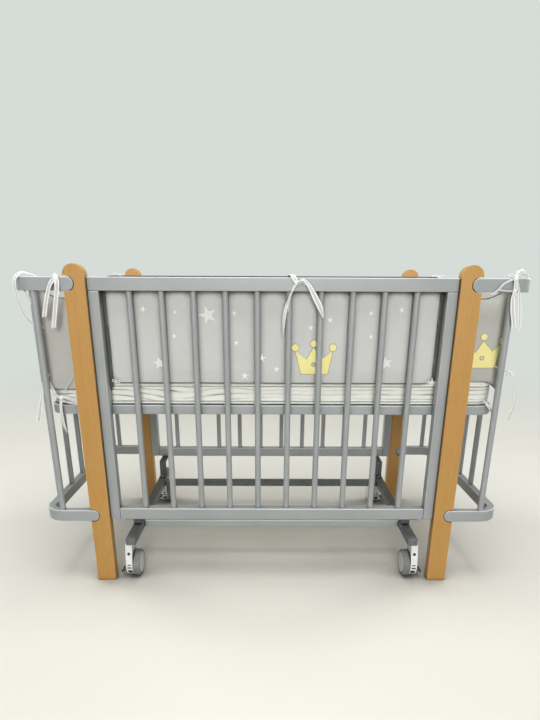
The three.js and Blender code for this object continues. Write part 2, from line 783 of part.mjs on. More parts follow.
// A ribbon tied round a rail that runs along x. y and depth are the middle and the thickness of the rail.
// A sewn ribbon stops at the rail's inner face, where a bumper holds its end.
function rail_tie(x, y, depth, tails, sewn = false) {
  const t = ribbon_thickness;
  const front = y - depth / 2 - fit;
  const back = y + depth / 2 + fit;
  const low = top_rail_z - fit;
  const high = top_rail_top + fit;
  const loop_outline = rounded_rectangle(front - t, back + t, low - t, high + t, t);
  loop_outline.holes.push(rounded_rectangle(front, back, low, high, t / 2));
  const loop = prism(loop_outline, 'x', x - ribbon_width / 2, x + ribbon_width / 2, 0, 2);
  const knot = knot_and_tails(x, high - knot_height / 2, front - t, tails);
  const tie = solid(loop).add(knot);
  return shaped(sewn ? tie.trimByPlane([0, -1, 0], fit - back) : tie);
}

// A ribbon tied round an upright end spindle: a ring, a knot on its front, and hanging tails
function spindle_tie(x, y, z, tails) {
  const ring_sides = 12;
  const inner = (spindle_radius + fit) / Math.cos(Math.PI / ring_sides);
  const outer = inner + ribbon_thickness;
  const ring = solid(upright_cylinder(2 * outer, ribbon_width, ring_sides))
    .subtract(solid(upright_cylinder(2 * inner, ribbon_width + overrun, ring_sides)));
  return shaped(ring.translate(x, y, z).add(knot_and_tails(x, z, y - outer, tails)));
}

function add_ties() {
  const stub = [-stub_middle_y, end_rail_thickness];
  const rail = [-panel_middle, panel_depth];
  const beside = spindle_radius + ribbon_width / 2 + tie_room;
  const centre_x = side_spindle_x(side_spindle_count / 2) + beside;
  const leg_side_x = leg_gap / 2 + leg_width + leg_tie_room;
  const corner_side_x = corner_x - beside;
  const put = (name, geometry) => add(name, geometry, ribbon_cloth);
  const scaled = (tail, route) => route.map(([dx, down]) => [dx * tail, down * tail]);
  const sized = (tail, shares) => shares.map((route) => scaled(tail, route));
  const centre_shares = [
    [[-0.11, 0.32], [-0.22, 0.7], [-0.24, 1]],
    [[0.11, 0.1], [0.32, 0.24], [0.45, 0.48], [0.53, 0.74]],
  ];
  const leg_side_shares = [
    [[-0.05, 0.34], [-0.08, 0.69], [-0.12, 1]],
    [[-0.12, 0.19], [-0.24, 0.45], [-0.33, 0.79]],
  ];
  const left_corner_shares = [[[-0.12, 0.29], [-0.17, 0.55]]];
  const right_corner_shares = [
    [[0.1, 0.34], [0.17, 0.67], [0.26, 1]],
    [[-0.12, 0.05], [-0.31, 0.24]],
  ];
  const low_left_shares = [[[-0.08, 0.42], [-0.15, 1]]];
  const low_outer_shares = [[[0.04, 0.42], [0.1, 1]]];
  const low_right_shares = [[[0.23, 0.1], [0.38, 0.38], [0.37, 0.77], [0.27, 1.12]]];
  put('tie_front_centre', rail_tie(centre_x, ...rail, sized(front_tie_tail, centre_shares), true));
  put('tie_front_left', rail_tie(-leg_side_x, ...stub, sized(corner_tie_tail, leg_side_shares)));
  put('tie_left_corner', rail_tie(-corner_side_x, ...stub, sized(corner_tie_tail, left_corner_shares)));
  put('tie_right_corner', rail_tie(corner_side_x, ...stub, sized(corner_tie_tail, right_corner_shares)));
  const low_z = base_top + low_tie_lift;
  const lower_tails = sized(low_tie_tail, low_left_shares);
  put('tie_left_lower', spindle_tie(-corner_x, -stub_middle_y, low_z, lower_tails));
  put('tie_left_outer', spindle_tie(-end_middle_x, -2 * end_spindle_pitch, low_z - low_tie_drop,
    sized(low_tie_tail, low_outer_shares)));
  put('tie_right_lower', spindle_tie(corner_x, -stub_middle_y, base_top + right_tie_lift,
    sized(low_tie_tail, low_right_shares)));
}

add_legs();
add_front_panel();
add_back_panel();
add_ends();
add_base();
add_mattress();
add_bumpers();
add_wheel_frame();
add_brackets();
add_castors();
add_ties();

export default crib;
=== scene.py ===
# %% [markdown]
# # A convertible crib
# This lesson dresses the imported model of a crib. The model gives every piece its place and size, and stays
# hidden wherever a finer piece stands for it. The pieces are made one after the other: first the camera and the
# light, then the finishes, then the wood, the soft goods, the ribbons and the castors.

# %% Load the model
import math

import bmesh
import bpy
from mathutils import Matrix, Vector, noise
from mathutils.bvhtree import BVHTree


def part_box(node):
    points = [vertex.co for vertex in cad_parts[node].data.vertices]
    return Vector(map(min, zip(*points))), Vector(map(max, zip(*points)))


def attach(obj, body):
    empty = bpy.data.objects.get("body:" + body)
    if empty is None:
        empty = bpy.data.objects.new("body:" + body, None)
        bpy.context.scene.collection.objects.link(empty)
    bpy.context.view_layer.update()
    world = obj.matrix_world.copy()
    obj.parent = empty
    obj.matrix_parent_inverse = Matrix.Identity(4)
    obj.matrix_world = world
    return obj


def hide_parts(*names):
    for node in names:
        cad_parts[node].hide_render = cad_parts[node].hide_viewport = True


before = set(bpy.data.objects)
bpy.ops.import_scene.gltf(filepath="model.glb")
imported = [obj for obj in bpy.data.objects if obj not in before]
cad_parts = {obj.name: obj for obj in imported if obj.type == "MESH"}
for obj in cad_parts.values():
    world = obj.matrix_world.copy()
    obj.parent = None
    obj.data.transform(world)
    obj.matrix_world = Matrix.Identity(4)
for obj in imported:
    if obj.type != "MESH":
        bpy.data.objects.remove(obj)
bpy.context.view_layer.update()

# %% [markdown]
# The camera comes first, because everything is seen through it. It stands a little above the top rail,
# in front of the middle of the crib, and looks down. A wide lens with an upward shift keeps the legs from
# leaning less than they should. Its place and angles are written as numbers, so the view never drifts.

# %% Camera
picture_height = 720
camera_place = Vector((-0.0135, -1.6508, 0.8446))
camera_yaw = math.radians(0.298)
camera_pitch = math.radians(19.161)
camera_roll = math.radians(0.244)
focal_pixels = 518.93
axis_drop_pixels = 100

ahead = Vector((
    math.sin(camera_yaw) * math.cos(camera_pitch),
    math.cos(camera_yaw) * math.cos(camera_pitch),
    -math.sin(camera_pitch),
))
level_right = Vector((math.cos(camera_yaw), -math.sin(camera_yaw), 0))
level_up = level_right.cross(ahead)
camera_right = level_right * math.cos(camera_roll) + level_up * math.sin(camera_roll)
camera_up = level_up * math.cos(camera_roll) - level_right * math.sin(camera_roll)

camera_data = bpy.data.cameras.new("camera")
camera_data.sensor_width = 36
camera_data.lens = focal_pixels / picture_height * camera_data.sensor_width
camera_data.shift_y = axis_drop_pixels / picture_height
camera_data.clip_end = 100
camera = bpy.data.objects.new("camera", camera_data)
camera.matrix_world = Matrix((
    (camera_right.x, camera_up.x, -ahead.x, camera_place.x),
    (camera_right.y, camera_up.y, -ahead.y, camera_place.y),
    (camera_right.z, camera_up.z, -ahead.z, camera_place.z),
    (0, 0, 0, 1),
))
bpy.context.scene.collection.objects.link(camera)
bpy.context.scene.camera = camera
print("lens", round(camera_data.lens, 2), "shift", round(camera_data.shift_y, 4))

# %% [markdown]
# Materials are built from nodes. A small helper makes a node, sets its plain inputs and links the rest, so
# each finish below reads as a short recipe. Colours are written as they look on a screen, from 0 to 255, and
# are turned into the linear values that a shader works in. On the real crib every joint and gap is a thin dark
# line, because little light gets in, so shade is painted into each colour where another surface lies close by.


# %% Node helpers
def screen(red, green, blue):
    values = []
    for channel in (red, green, blue):
        share = channel / 255
        values.append(share / 12.92 if share <= 0.04045 else ((share + 0.055) / 1.055) ** 2.4)
    return (*values, 1)


class Finish:
    """A material under construction: its node tree, its shader, and short ways to add nodes."""

    def __init__(self, name, roughness=0.5, slot=None, **sockets):
        self.material = bpy.data.materials.new(name)
        self.material.use_nodes = True
        self.slot = slot
        self.tree = self.material.node_tree
        self.shader = self.tree.nodes["Principled BSDF"]
        self.shader.inputs["Roughness"].default_value = roughness
        for socket, value in sockets.items():
            self.shader.inputs[socket.replace("_", " ")].default_value = value

    def node(self, kind, inputs=None, **settings):
        made = self.tree.nodes.new("ShaderNode" + kind)
        for key, value in settings.items():
            setattr(made, key, value)
        for key, value in (inputs or {}).items():
            if isinstance(value, bpy.types.NodeSocket):
                self.tree.links.new(value, made.inputs[key])
            else:
                made.inputs[key].default_value = value
        return made

    def place(self, scale=(1, 1, 1)):
        coordinates = self.node("TexCoord").outputs["Object"]
        return self.node("Mapping", {"Vector": coordinates, "Scale": scale}).outputs["Vector"]

    def cloud(self, vector, scale, detail=3, roughness=0.5, distortion=0):
        return self.node("TexNoise", {
            "Vector": vector, "Scale": scale, "Detail": detail,
            "Roughness": roughness, "Distortion": distortion,
        }).outputs["Fac"]

    def ramp(self, value, stops):
        made = self.node("ValToRGB", {"Fac": value})
        ramp = made.color_ramp
        while len(ramp.elements) < len(stops):
            ramp.elements.new(0.5)
        for element, (position, color) in zip(ramp.elements, stops):
            element.position = position
            element.color = color
        return made.outputs["Color"]

    def spread(self, value, low, high, to_low=0.0, to_high=1.0):
        return self.node("MapRange", {
            "Value": value, "From Min": low, "From Max": high, "To Min": to_low, "To Max": to_high,
        }).outputs["Result"]

    def mix(self, factor, first, second, blend="MIX"):
        made = self.node("Mix", data_type="RGBA", blend_type=blend)
        for socket, value in ((made.inputs[0], factor), (made.inputs[6], first), (made.inputs[7], second)):
            if isinstance(value, bpy.types.NodeSocket):
                self.tree.links.new(value, socket)
            else:
                socket.default_value = value
        return made.outputs[2]

    def maths(self, operation, first, second=0.5):
        return self.node("Math", {0: first, 1: second}, operation=operation).outputs[0]

    def attribute(self, name):
        return self.node("Attribute", attribute_name=name).outputs["Fac"]

    def color(self, value, gap=0.014, darkest=0.05, samples=6):
        """Sets the colour, with painted shade: it is darker in a gap, where another surface lies nearer than
        gap metres.
        """
        open_share = self.node("AmbientOcclusion", {"Distance": gap}, samples=samples).outputs["AO"]
        open_share = self.spread(open_share, 0.22, 0.82, darkest, 1)
        value = self.mix(1.0, value, open_share, "MULTIPLY")
        self.tree.links.new(value, self.shader.inputs["Base Color"])

    def roughness(self, value):
        self.tree.links.new(value, self.shader.inputs["Roughness"])

    def bump(self, height, strength, distance):
        made = self.node("Bump", {"Height": height, "Strength": strength, "Distance": distance})
        self.tree.links.new(made.outputs["Normal"], self.shader.inputs["Normal"])


print("node helpers ready")

# %% [markdown]
# The legs are pale hardwood boards under a golden satin lacquer, with the grain running up the board. Wood like
# this shows three sizes of detail: broad streaks, fine pores and a few darker growth lines. Each is a noise
# pattern that is stretched a long way along the grain. The eased edges catch more light, so the pieces carry a
# mask value there, and a painted highlight makes the wood paler where it is set.

# %% Leg wood
leg_wood = Finish("leg_wood", roughness=0.42, slot="leg_wood", Coat_Weight=0.12, Coat_Roughness=0.3)
along_grain = leg_wood.place((1, 1, 0.045))
broad_streaks = leg_wood.cloud(along_grain, 34, detail=4, roughness=0.6, distortion=0.6)
growth_lines = leg_wood.cloud(leg_wood.place((1, 0.5, 0.02)), 150, detail=2, roughness=0.4, distortion=0.3)
pores = leg_wood.cloud(leg_wood.place((1, 1, 0.03)), 900, detail=2)
streak_color = leg_wood.ramp(broad_streaks, [
    (0.25, screen(189, 140, 70)), (0.5, screen(192, 144, 73)), (0.75, screen(195, 148, 76)),
])
line_amount = leg_wood.spread(growth_lines, 0.52, 0.68, 0, 0.1)
lined_color = leg_wood.mix(line_amount, streak_color, screen(164, 118, 62))
pore_amount = leg_wood.spread(pores, 0.56, 0.74, 0, 0.45)
pored_color = leg_wood.mix(pore_amount, lined_color, screen(146, 104, 54))
# Painted highlight: the eased edges turn paler, as if they caught more light.
leg_highlight = leg_wood.maths("MULTIPLY", leg_wood.attribute("painted_light"), 0.75)
leg_wood.color(leg_wood.mix(leg_highlight, pored_color, screen(232, 197, 142)))
leg_wood.roughness(leg_wood.spread(pores, 0.3, 0.8, 0.36, 0.52))
leg_wood.bump(leg_wood.maths("SUBTRACT", broad_streaks, pore_amount), 0.25, 0.0006)
print("leg wood has", len(leg_wood.tree.nodes), "nodes")

# %% [markdown]
# Everything else of wood is sprayed with light grey satin paint. Sprayed paint isn't one flat tone: it has a
# faint cloudiness and a fine orange-peel bump. A painted highlight makes it paler over eased edges, most of all
# over the upper ones, where light from above catches them. Its painted shade in gaps reaches further than that
# of the wood, so that the round spindles and the stiles get soft painted dark sides.

# %% Grey paint
frame_paint = Finish(
    "frame_paint", roughness=0.42, slot="frame_paint",
    Coat_Weight=0.2, Coat_Roughness=0.3, Specular_IOR_Level=0.35)
paint_clouds = frame_paint.cloud(frame_paint.place(), 9, detail=3)
orange_peel = frame_paint.cloud(frame_paint.place(), 420, detail=2)
paint_color = frame_paint.ramp(paint_clouds, [
    (0.3, screen(157, 162, 162)), (0.55, screen(163, 167, 167)), (0.8, screen(169, 173, 172)),
])
# Painted highlight: eased edges turn paler, most of all on upward faces, where light from above catches them.
upward = frame_paint.node("SeparateXYZ", {0: frame_paint.node("NewGeometry").outputs["Normal"]}).outputs["Z"]
lit_from_above = frame_paint.spread(upward, 0, 0.5, 0.12, 0.85)
paint_highlight = frame_paint.maths("MULTIPLY", frame_paint.attribute("painted_light"), lit_from_above)
frame_paint.color(frame_paint.mix(paint_highlight, paint_color, screen(226, 229, 228)), gap=0.045)
frame_paint.roughness(frame_paint.spread(paint_clouds, 0.3, 0.8, 0.34, 0.46))
frame_paint.bump(orange_peel, 0.12, 0.0003)
print("frame paint has", len(frame_paint.tree.nodes), "nodes")

# %% [markdown]
# The board under the mattress is bare plywood. Seen from below, its face veneer has wide flat grain along the
# crib, so the noise is stretched along X this time.

# %% Plywood
plywood = Finish("base_plywood", roughness=0.62, slot="base_plywood")
veneer = plywood.cloud(plywood.place((0.06, 1, 1)), 26, detail=4, roughness=0.62, distortion=1.1)
veneer_color = plywood.ramp(veneer, [
    (0.3, screen(176, 146, 104)), (0.5, screen(199, 171, 128)), (0.72, screen(212, 188, 148)),
])
veneer_pores = plywood.spread(plywood.cloud(plywood.place((0.05, 1, 1)), 600), 0.6, 0.75, 0, 0.3)
plywood.color(plywood.mix(veneer_pores, veneer_color, screen(150, 118, 78)))
plywood.bump(veneer, 0.2, 0.0005)
print("plywood has", len(plywood.tree.nodes), "nodes")

# %% [markdown]
# The soft goods are plain-woven cotton. A weave is two sets of fine waves that cross, and it doesn't need any
# unwrapping when it is worked out from the place of each point. One helper serves the mattress, the pads and
# the ribbons, with their own colours and thread sizes. Where a piece carries a mask value, in a fold or at a
# hidden edge, the cloth takes a darker colour there as painted shade. The print's colours are cottons too, and
# so is the thin piping of the pads, whose dark grey is painted shade for the dark line round each pad.


# %% Cotton
def cotton(name, slot, low_color, high_color, threads_per_metre, sheen, crease_shade=None, gap=0.008):
    cloth = Finish(name, roughness=0.92, slot=slot, Sheen_Weight=sheen, Sheen_Roughness=0.5)
    place = cloth.place()
    waves = []
    for direction in ("X", "Y", "Z"):
        waves.append(cloth.node("TexWave", {
            "Vector": place, "Scale": threads_per_metre / 20, "Distortion": 1.2, "Detail": 1,
            "Detail Scale": 3,
        }, bands_direction=direction).outputs["Fac"])
    weave = cloth.maths("ADD", cloth.maths("ADD", waves[0], waves[1]), waves[2])
    clouds = cloth.cloud(place, 14, detail=4, roughness=0.55)
    slub = cloth.cloud(cloth.place((1, 1, 0.15)), 260, detail=2)
    tone = cloth.maths("ADD", cloth.maths("MULTIPLY", clouds, 0.7), cloth.maths("MULTIPLY", slub, 0.3))
    toned = cloth.ramp(tone, [(0.3, low_color), (0.7, high_color)])
    # Painted shade: where the mask is set, in a fold or at a hidden edge, the cloth turns to its darker colour.
    if crease_shade:
        toned = cloth.mix(cloth.maths("MULTIPLY", cloth.attribute("painted_light"), 0.9), toned, crease_shade)
    cloth.color(toned, gap=gap)
    cloth.bump(cloth.maths("ADD", weave, slub), 0.35, 0.00025)
    return cloth


mattress_cotton = cotton(
    "mattress_cotton", "mattress_cloth", screen(238, 238, 230), screen(247, 247, 240), 1400, 0.1,
    crease_shade=screen(104, 103, 93), gap=0.014)
bumper_cotton = cotton(
    "bumper_cotton", "bumper_cloth", screen(204, 205, 201), screen(211, 212, 209), 1500, 0.1, gap=0.024)
# The end pads take a darker copy of the pads' grey cotton, as painted shade.
shaded_end_cotton = cotton(
    "shaded_end_cotton", "bumper_cloth", screen(184, 184, 177), screen(192, 192, 186), 1500, 0.1,
    crease_shade=screen(70, 70, 68), gap=0.024)
# The pads' piping is dark grey as painted shade, for the dark line round each pad's edge.
piping_shade_cotton = cotton("piping_shade_cotton", "bumper_cloth", screen(84, 85, 82), screen(96, 97, 93), 1800, 0.1)
ribbon_cotton = cotton(
    "ribbon_cotton", "ribbon_cloth", screen(248, 248, 246), screen(253, 253, 252), 1800, 0.15,
    crease_shade=screen(204, 205, 202), gap=0.003)
white_print = cotton("white_print", "bumper_cloth", screen(250, 251, 249), screen(254, 254, 253), 1500, 0.05)
star_print = cotton("star_print", "bumper_cloth", screen(230, 231, 228), screen(238, 239, 236), 1500, 0.05)
crown_print = cotton("crown_print", "bumper_cloth", screen(244, 233, 152), screen(250, 241, 168), 1500, 0.05)
crown_line = cotton("crown_line", "bumper_cloth", screen(158, 152, 118), screen(172, 166, 130), 1500, 0.05)
print("cotton finishes ready")

# %% [markdown]
# The castors mix four materials: glossy white plastic, grey rubber, a lighter hub cap and a black pedal. The
# brackets are strap steel under a dark grey coat, and the bars behind them take a darker copy of the crib's
# grey paint, as painted shade. They are small, so a little mottling and dust is all the detail that shows.


# %% Castor and bracket finishes
def moulded(name, slot, low_color, high_color, roughness, dust=0.0, **sockets):
    plastic = Finish(name, roughness=roughness, slot=slot, **sockets)
    mottle = plastic.cloud(plastic.place(), 60, detail=3)
    skin = plastic.cloud(plastic.place(), 1500, detail=1)
    toned = plastic.ramp(mottle, [(0.3, low_color), (0.7, high_color)])
    dusty = plastic.spread(plastic.cloud(plastic.place(), 22, detail=4), 0.5, 0.75, 0, dust)
    plastic.color(plastic.mix(dusty, toned, screen(176, 172, 164)))
    plastic.bump(skin, 0.1, 0.0002)
    return plastic


white_plastic = moulded("white_plastic", "castor_plastic", screen(232, 232, 228), screen(243, 243, 240), 0.32)
tread_rubber = moulded(
    "tread_rubber", "wheel_rubber", screen(118, 123, 123), screen(134, 139, 138), 0.6, dust=0.3)
hub_plastic = moulded("hub_plastic", "wheel_rubber", screen(228, 230, 225), screen(236, 238, 233), 0.4)
pedal_plastic = moulded("pedal_plastic", "pedal_plastic", screen(26, 27, 29), screen(36, 37, 39), 0.5, dust=0.1)
strap_steel = moulded("strap_steel", "bracket_steel", screen(78, 81, 81), screen(92, 95, 95), 0.5, Metallic=0.2)
screw_steel = moulded(
    "screw_steel", "bracket_steel", screen(150, 152, 154), screen(176, 178, 180), 0.35, Metallic=0.9)
# A darker copy of the crib's grey paint: painted shade for the bars and the back stretcher under the crib.
shaded_bar_paint = moulded("shaded_bar_paint", "frame_paint", screen(92, 96, 94), screen(106, 110, 108), 0.45)
print("castor finishes ready")

# %% [markdown]
# The stage is a wide pale floor that fades into the same pale tone as the sky, so no edge of it shows from any
# side. A pale sky all round would light the crib evenly and flatten it, so the sky is pale only where it is
# seen, directly, in a gloss or through something clear, and gives next to no light.

# %% Sky
backdrop_color = screen(214, 220, 215)
sky_light = 0.07

sky = bpy.data.worlds.new("sky")
bpy.context.scene.world = sky
sky.use_nodes = True
sky_nodes = sky.node_tree.nodes
sky_links = sky.node_tree.links
sky_nodes.clear()
even_sky = sky_nodes.new("ShaderNodeBackground")
even_sky.inputs["Color"].default_value = (1, 1, 1, 1)
even_sky.inputs["Strength"].default_value = sky_light
seen_sky = sky_nodes.new("ShaderNodeBackground")
seen_sky.inputs["Color"].default_value = backdrop_color
sky_path = sky_nodes.new("ShaderNodeLightPath")
sky_choice = sky_nodes.new("ShaderNodeMixShader")
sky_out = sky_nodes.new("ShaderNodeOutputWorld")
sky_seen = sky_path.outputs["Is Camera Ray"]
for ray in ("Is Glossy Ray", "Is Transmission Ray"):
    either = sky_nodes.new("ShaderNodeMath")
    either.operation = "MAXIMUM"
    sky_links.new(sky_seen, either.inputs[0])
    sky_links.new(sky_path.outputs[ray], either.inputs[1])
    sky_seen = either.outputs[0]
sky_links.new(sky_seen, sky_choice.inputs[0])
sky_links.new(even_sky.outputs[0], sky_choice.inputs[1])
sky_links.new(seen_sky.outputs[0], sky_choice.inputs[2])
sky_links.new(sky_choice.outputs[0], sky_out.inputs["Surface"])
print("sky ready, giving", sky_light, "of full light")

# %% [markdown]
# The floor keeps the crib's shadow, and throws back less light than its pale tone would, so that the inside and
# the underside of the crib stay as dark as they are in a room. Far from the crib it fades into the backdrop.

# %% Floor
floor_color = screen(230, 229, 219)
floor_light = 0.06
fade_start = 1.6
fade_end = 4.2

floor_finish = Finish("floor", roughness=0.75)
floor_tone = floor_finish.cloud(floor_finish.place(), 1.5, detail=3)
floor_rays = floor_finish.node("LightPath").outputs
floor_path = floor_finish.maths("MAXIMUM", floor_rays["Is Camera Ray"], floor_rays["Is Glossy Ray"])
floor_path = floor_finish.maths("MAXIMUM", floor_path, floor_rays["Is Transmission Ray"])
pale_floor = floor_finish.mix(floor_tone, floor_color, screen(225, 223, 213))
seen_floor = floor_finish.mix(floor_path, screen(150, 147, 138), pale_floor)
# Painted shadow: the floor darkens where the crib stands over it, within half a metre, and so does its glow.
floor_finish.color(seen_floor, gap=0.5, darkest=0.16, samples=24)
shaded_floor = floor_finish.shader.inputs["Base Color"].links[0].from_socket
floor_finish.tree.links.new(shaded_floor, floor_finish.shader.inputs["Emission Color"])
floor_finish.tree.links.new(
    floor_finish.maths("MULTIPLY", floor_path, floor_light),
    floor_finish.shader.inputs["Emission Strength"])
floor_distance = floor_finish.node("VectorMath", {0: floor_finish.place()}, operation="LENGTH").outputs["Value"]
floor_fade = floor_finish.spread(floor_distance, fade_start, fade_end)
floor_glow = floor_finish.node("Emission", {"Color": backdrop_color, "Strength": 1.0}).outputs[0]
floor_mix = floor_finish.node("MixShader", {
    0: floor_finish.maths("MULTIPLY", floor_fade, floor_path), 1: floor_finish.shader.outputs[0], 2: floor_glow,
})
floor_finish.tree.links.new(floor_mix.outputs[0], floor_finish.tree.nodes["Material Output"].inputs["Surface"])

floor_mesh = bpy.data.meshes.new("floor")
floor_half = 30
floor_mesh.from_pydata(
    [(-floor_half, -floor_half, 0), (floor_half, -floor_half, 0),
     (floor_half, floor_half, 0), (-floor_half, floor_half, 0)], [], [(0, 1, 2, 3)])
floor_mesh.materials.append(floor_finish.material)
floor = bpy.data.objects.new("floor", floor_mesh)
bpy.context.scene.collection.objects.link(floor)
print("floor", 2 * floor_half, "metres wide")

# %% [markdown]
# A wide lamp stands in front, so that each round spindle is bright in its middle and darker at both sides. One
# overhead brightens every upper face, and two behind, to the left and right, keep the back and the ends clear
# from every side. All aim at the middle of the crib.

# %% Lamps
middle_of_crib = Vector((0, 0, 0.45))
lamps = {  # place in metres, width in metres, watts
    "front_lamp": ((0.1, -6.0, 2.1), 2.4, 240),
    "top_lamp": ((0.0, -0.4, 3.4), 2.2, 82),
    "back_left_lamp": ((-5.3, 2.8, 2.3), 2.4, 140),
    "back_right_lamp": ((5.3, 2.8, 2.3), 2.4, 140),
}
for lamp_name, (place, size, watts) in lamps.items():
    lamp_data = bpy.data.lights.new(lamp_name, "AREA")
    lamp_data.shape = "SQUARE"
    lamp_data.size = size
    lamp_data.energy = watts
    lamp = bpy.data.objects.new(lamp_name, lamp_data)
    lamp.location = place
    lamp.rotation_euler = (middle_of_crib - lamp.location).to_track_quat("-Z", "Y").to_euler()
    bpy.context.scene.collection.objects.link(lamp)
bpy.context.scene.view_settings.view_transform = "Standard"
print(len(lamps), "lamps ready")

# %% [markdown]
# Meshes come next. Most wooden pieces are blocks with eased edges, plates sawn to an outline, or strips bent
# along a path. Three helpers cover them: one bevels a block, one bevels a sawn plate, and one joins a row of
# rings into a skin. Each marks the faces of its eased edges in a mask, which the finishes read to paint a
# highlight there. A fourth helper turns a mesh into a piece: it gives it its finish, sets smooth shading, puts
# it on its body and hides the model's pieces that it stands for.

# %% From mesh to piece
MM = 0.001


def mm(*values):
    return Vector(values) * MM


def finished_mesh(name, build):
    bmesh.ops.recalc_face_normals(build, faces=build.faces)
    mesh = bpy.data.meshes.new(name)
    build.to_mesh(mesh)
    build.free()
    return mesh


def put(name, mesh, finishes, body="frame", stands_for=(), sharp=38, even_normals=False):
    finishes = finishes if isinstance(finishes, (list, tuple)) else [finishes]
    for finish in finishes:
        mesh.materials.append(finish.material)
    mesh.polygons.foreach_set("use_smooth", [True] * len(mesh.polygons))
    mesh.set_sharp_from_angle(angle=math.radians(sharp))
    thing = bpy.data.objects.new(name, mesh)
    bpy.context.scene.collection.objects.link(thing)
    if even_normals:
        thing.modifiers.new("even normals", "WEIGHTED_NORMAL").keep_sharp = True
    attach(thing, body)
    if stands_for:
        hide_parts(*stands_for)
    return thing


print("pieces are put in place by one helper")


# %% Blocks and plates
edge_segments = 3


def eased_block(name, low, high, edge):
    build = bmesh.new()
    bmesh.ops.create_cube(build, size=1)
    size = high - low
    bmesh.ops.transform(
        build, verts=build.verts,
        matrix=Matrix.Translation((low + high) / 2) @ Matrix.Diagonal((*size, 1)))
    # The eased faces go in a mask, where the finishes paint a highlight.
    painted_light = build.faces.layers.float.new("painted_light")
    made = bmesh.ops.bevel(
        build, geom=build.edges[:], offset=edge * MM, segments=edge_segments, profile=0.5, affect="EDGES")
    for face in made["faces"]:
        face[painted_light] = 1
    return finished_mesh(name, build)


def sawn_plate(name, near_points, far_points, axis, edge, segments=edge_segments):
    """A plate between two outlines that face each other along an axis, with its outer edges eased."""
    build = bmesh.new()
    painted_light = build.faces.layers.float.new("painted_light")
    near = [build.verts.new(point) for point in near_points]
    far = [build.verts.new(point) for point in far_points]
    build.faces.new(near)
    build.faces.new(list(reversed(far)))
    for k in range(len(near)):
        n = (k + 1) % len(near)
        build.faces.new((near[n], near[k], far[k], far[n]))
    face_edges = [e for e in build.edges if abs(e.verts[0].co[axis] - e.verts[1].co[axis]) < 1e-6]
    made = bmesh.ops.bevel(
        build, geom=face_edges, offset=edge * MM, segments=segments, profile=0.5, affect="EDGES",
        clamp_overlap=True)
    for face in made["faces"]:
        face[painted_light] = 1
    return finished_mesh(name, build)


print("blocks and plates get", edge_segments, "faces round each eased edge")

# %% [markdown]
# A skin is made of rings, each a list of points in the same order, with faces between one ring and the next. It
# serves everything that is turned, bent or swept: rods, rails, piping, ribbons and wheels.


# %% Skins
# The four corners of a rectangle: which way each lies, and where its quarter circle starts, in half turns
four_corners = ((1, -1, -0.5), (1, 1, 0), (-1, 1, 0.5), (-1, -1, 1))


def full_circle(count):
    return [2 * math.pi * k / count for k in range(count)]


def skin(name, rings, closed=False, rims=(), materials=None):
    """Joins rings of equal count into one surface. rims are the places round a ring whose faces are eased."""
    build = bmesh.new()
    # Faces at the places in rims go in a mask, for a painted highlight on wood and paint, or painted shade on
    # cloth.
    painted_light = build.faces.layers.float.new("painted_light")
    rows = [[build.verts.new(point) for point in ring] for ring in rings]
    count = len(rows[0])
    steps = len(rows) if closed else len(rows) - 1
    for r in range(steps):
        a, b = rows[r], rows[(r + 1) % len(rows)]
        for k in range(count):
            n = (k + 1) % count
            face = build.faces.new((a[k], a[n], b[n], b[k]))
            face[painted_light] = 1 if k in rims else 0
            if materials:
                face.material_index = materials[r]
    if not closed:
        build.faces.new(list(reversed(rows[0])))
        last = build.faces.new(rows[-1])
        if materials:
            last.material_index = materials[-1]
    return finished_mesh(name, build)


def eased_section(across, up, edge, steps=3):
    """Points round a rectangle with eased corners, and the places of its corner faces."""
    edge = min(edge, across / 2 - 0.01, up / 2 - 0.01)
    points, rims = [], []
    for sx, sy, start in four_corners:
        for k in range(steps + 1):
            angle = (start + 0.5 * k / steps) * math.pi
            if k < steps:
                rims.append(len(points))
            points.append((
                sx * (across / 2 - edge) + edge * math.cos(angle),
                sy * (up / 2 - edge) + edge * math.sin(angle)))
    return points, rims


print("skin helpers ready")

# %% [markdown]
# Each leg is a flat board with a round head. Two slots are cut in from its outer edge, and the bent end rails
# lie in them with their round ends. The board is sawn from one outline, so the slots are real cuts, and both
# faces get the same small round-over as the outside.

# %% Leg boards
leg_edge = 2.6
slot_room = 2.6
leg_low, leg_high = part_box("leg_front_left")
leg_half = (leg_high.x - leg_low.x) / 2
leg_centre = 0.4885
rail_half = 0.0165
stub_end = 0.49
slot_heights = (0.193, 0.817)


def arc(centre_x, centre_z, radius, start, end, steps):
    return [
        (centre_x + radius * math.cos(start + (end - start) * k / steps),
         centre_z + radius * math.sin(start + (end - start) * k / steps))
        for k in range(steps + 1)
    ]


def leg_outline(side):
    """Outline in X and Z. side is -1 for the left legs, whose slots open to the left."""
    centre = side * leg_centre
    slot_centre = side * (stub_end + rail_half)
    slot_radius = rail_half + slot_room * MM
    outline = [(centre + side * leg_half, 0), (centre - side * leg_half, 0)]
    head = arc(0, leg_high.z - leg_half, leg_half, math.pi, 0, 24)
    outline += [(centre + side * x, z) for x, z in head]
    for low in reversed(slot_heights):
        middle = low + rail_half
        outline.append((centre + side * leg_half, middle + slot_radius))
        outline += [
            (side * (abs(slot_centre) + x), z)
            for x, z in arc(0, middle, slot_radius, math.pi / 2, 1.5 * math.pi, 16)
        ]
        outline.append((centre + side * leg_half, middle - slot_radius))
    return outline


for side_name, side in (("left", -1), ("right", 1)):
    for end_name in ("front", "back"):
        node = f"leg_{end_name}_{side_name}"
        low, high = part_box(node)
        outline = leg_outline(side)
        board = sawn_plate(
            f"{node}_board", [(x, low.y, z) for x, z in outline], [(x, high.y, z) for x, z in outline],
            axis=1, edge=leg_edge)
        put(f"{node}_board", board, leg_wood, stands_for=[node], even_normals=True)
print("four leg boards,", round(leg_high.z / MM), "mm tall")
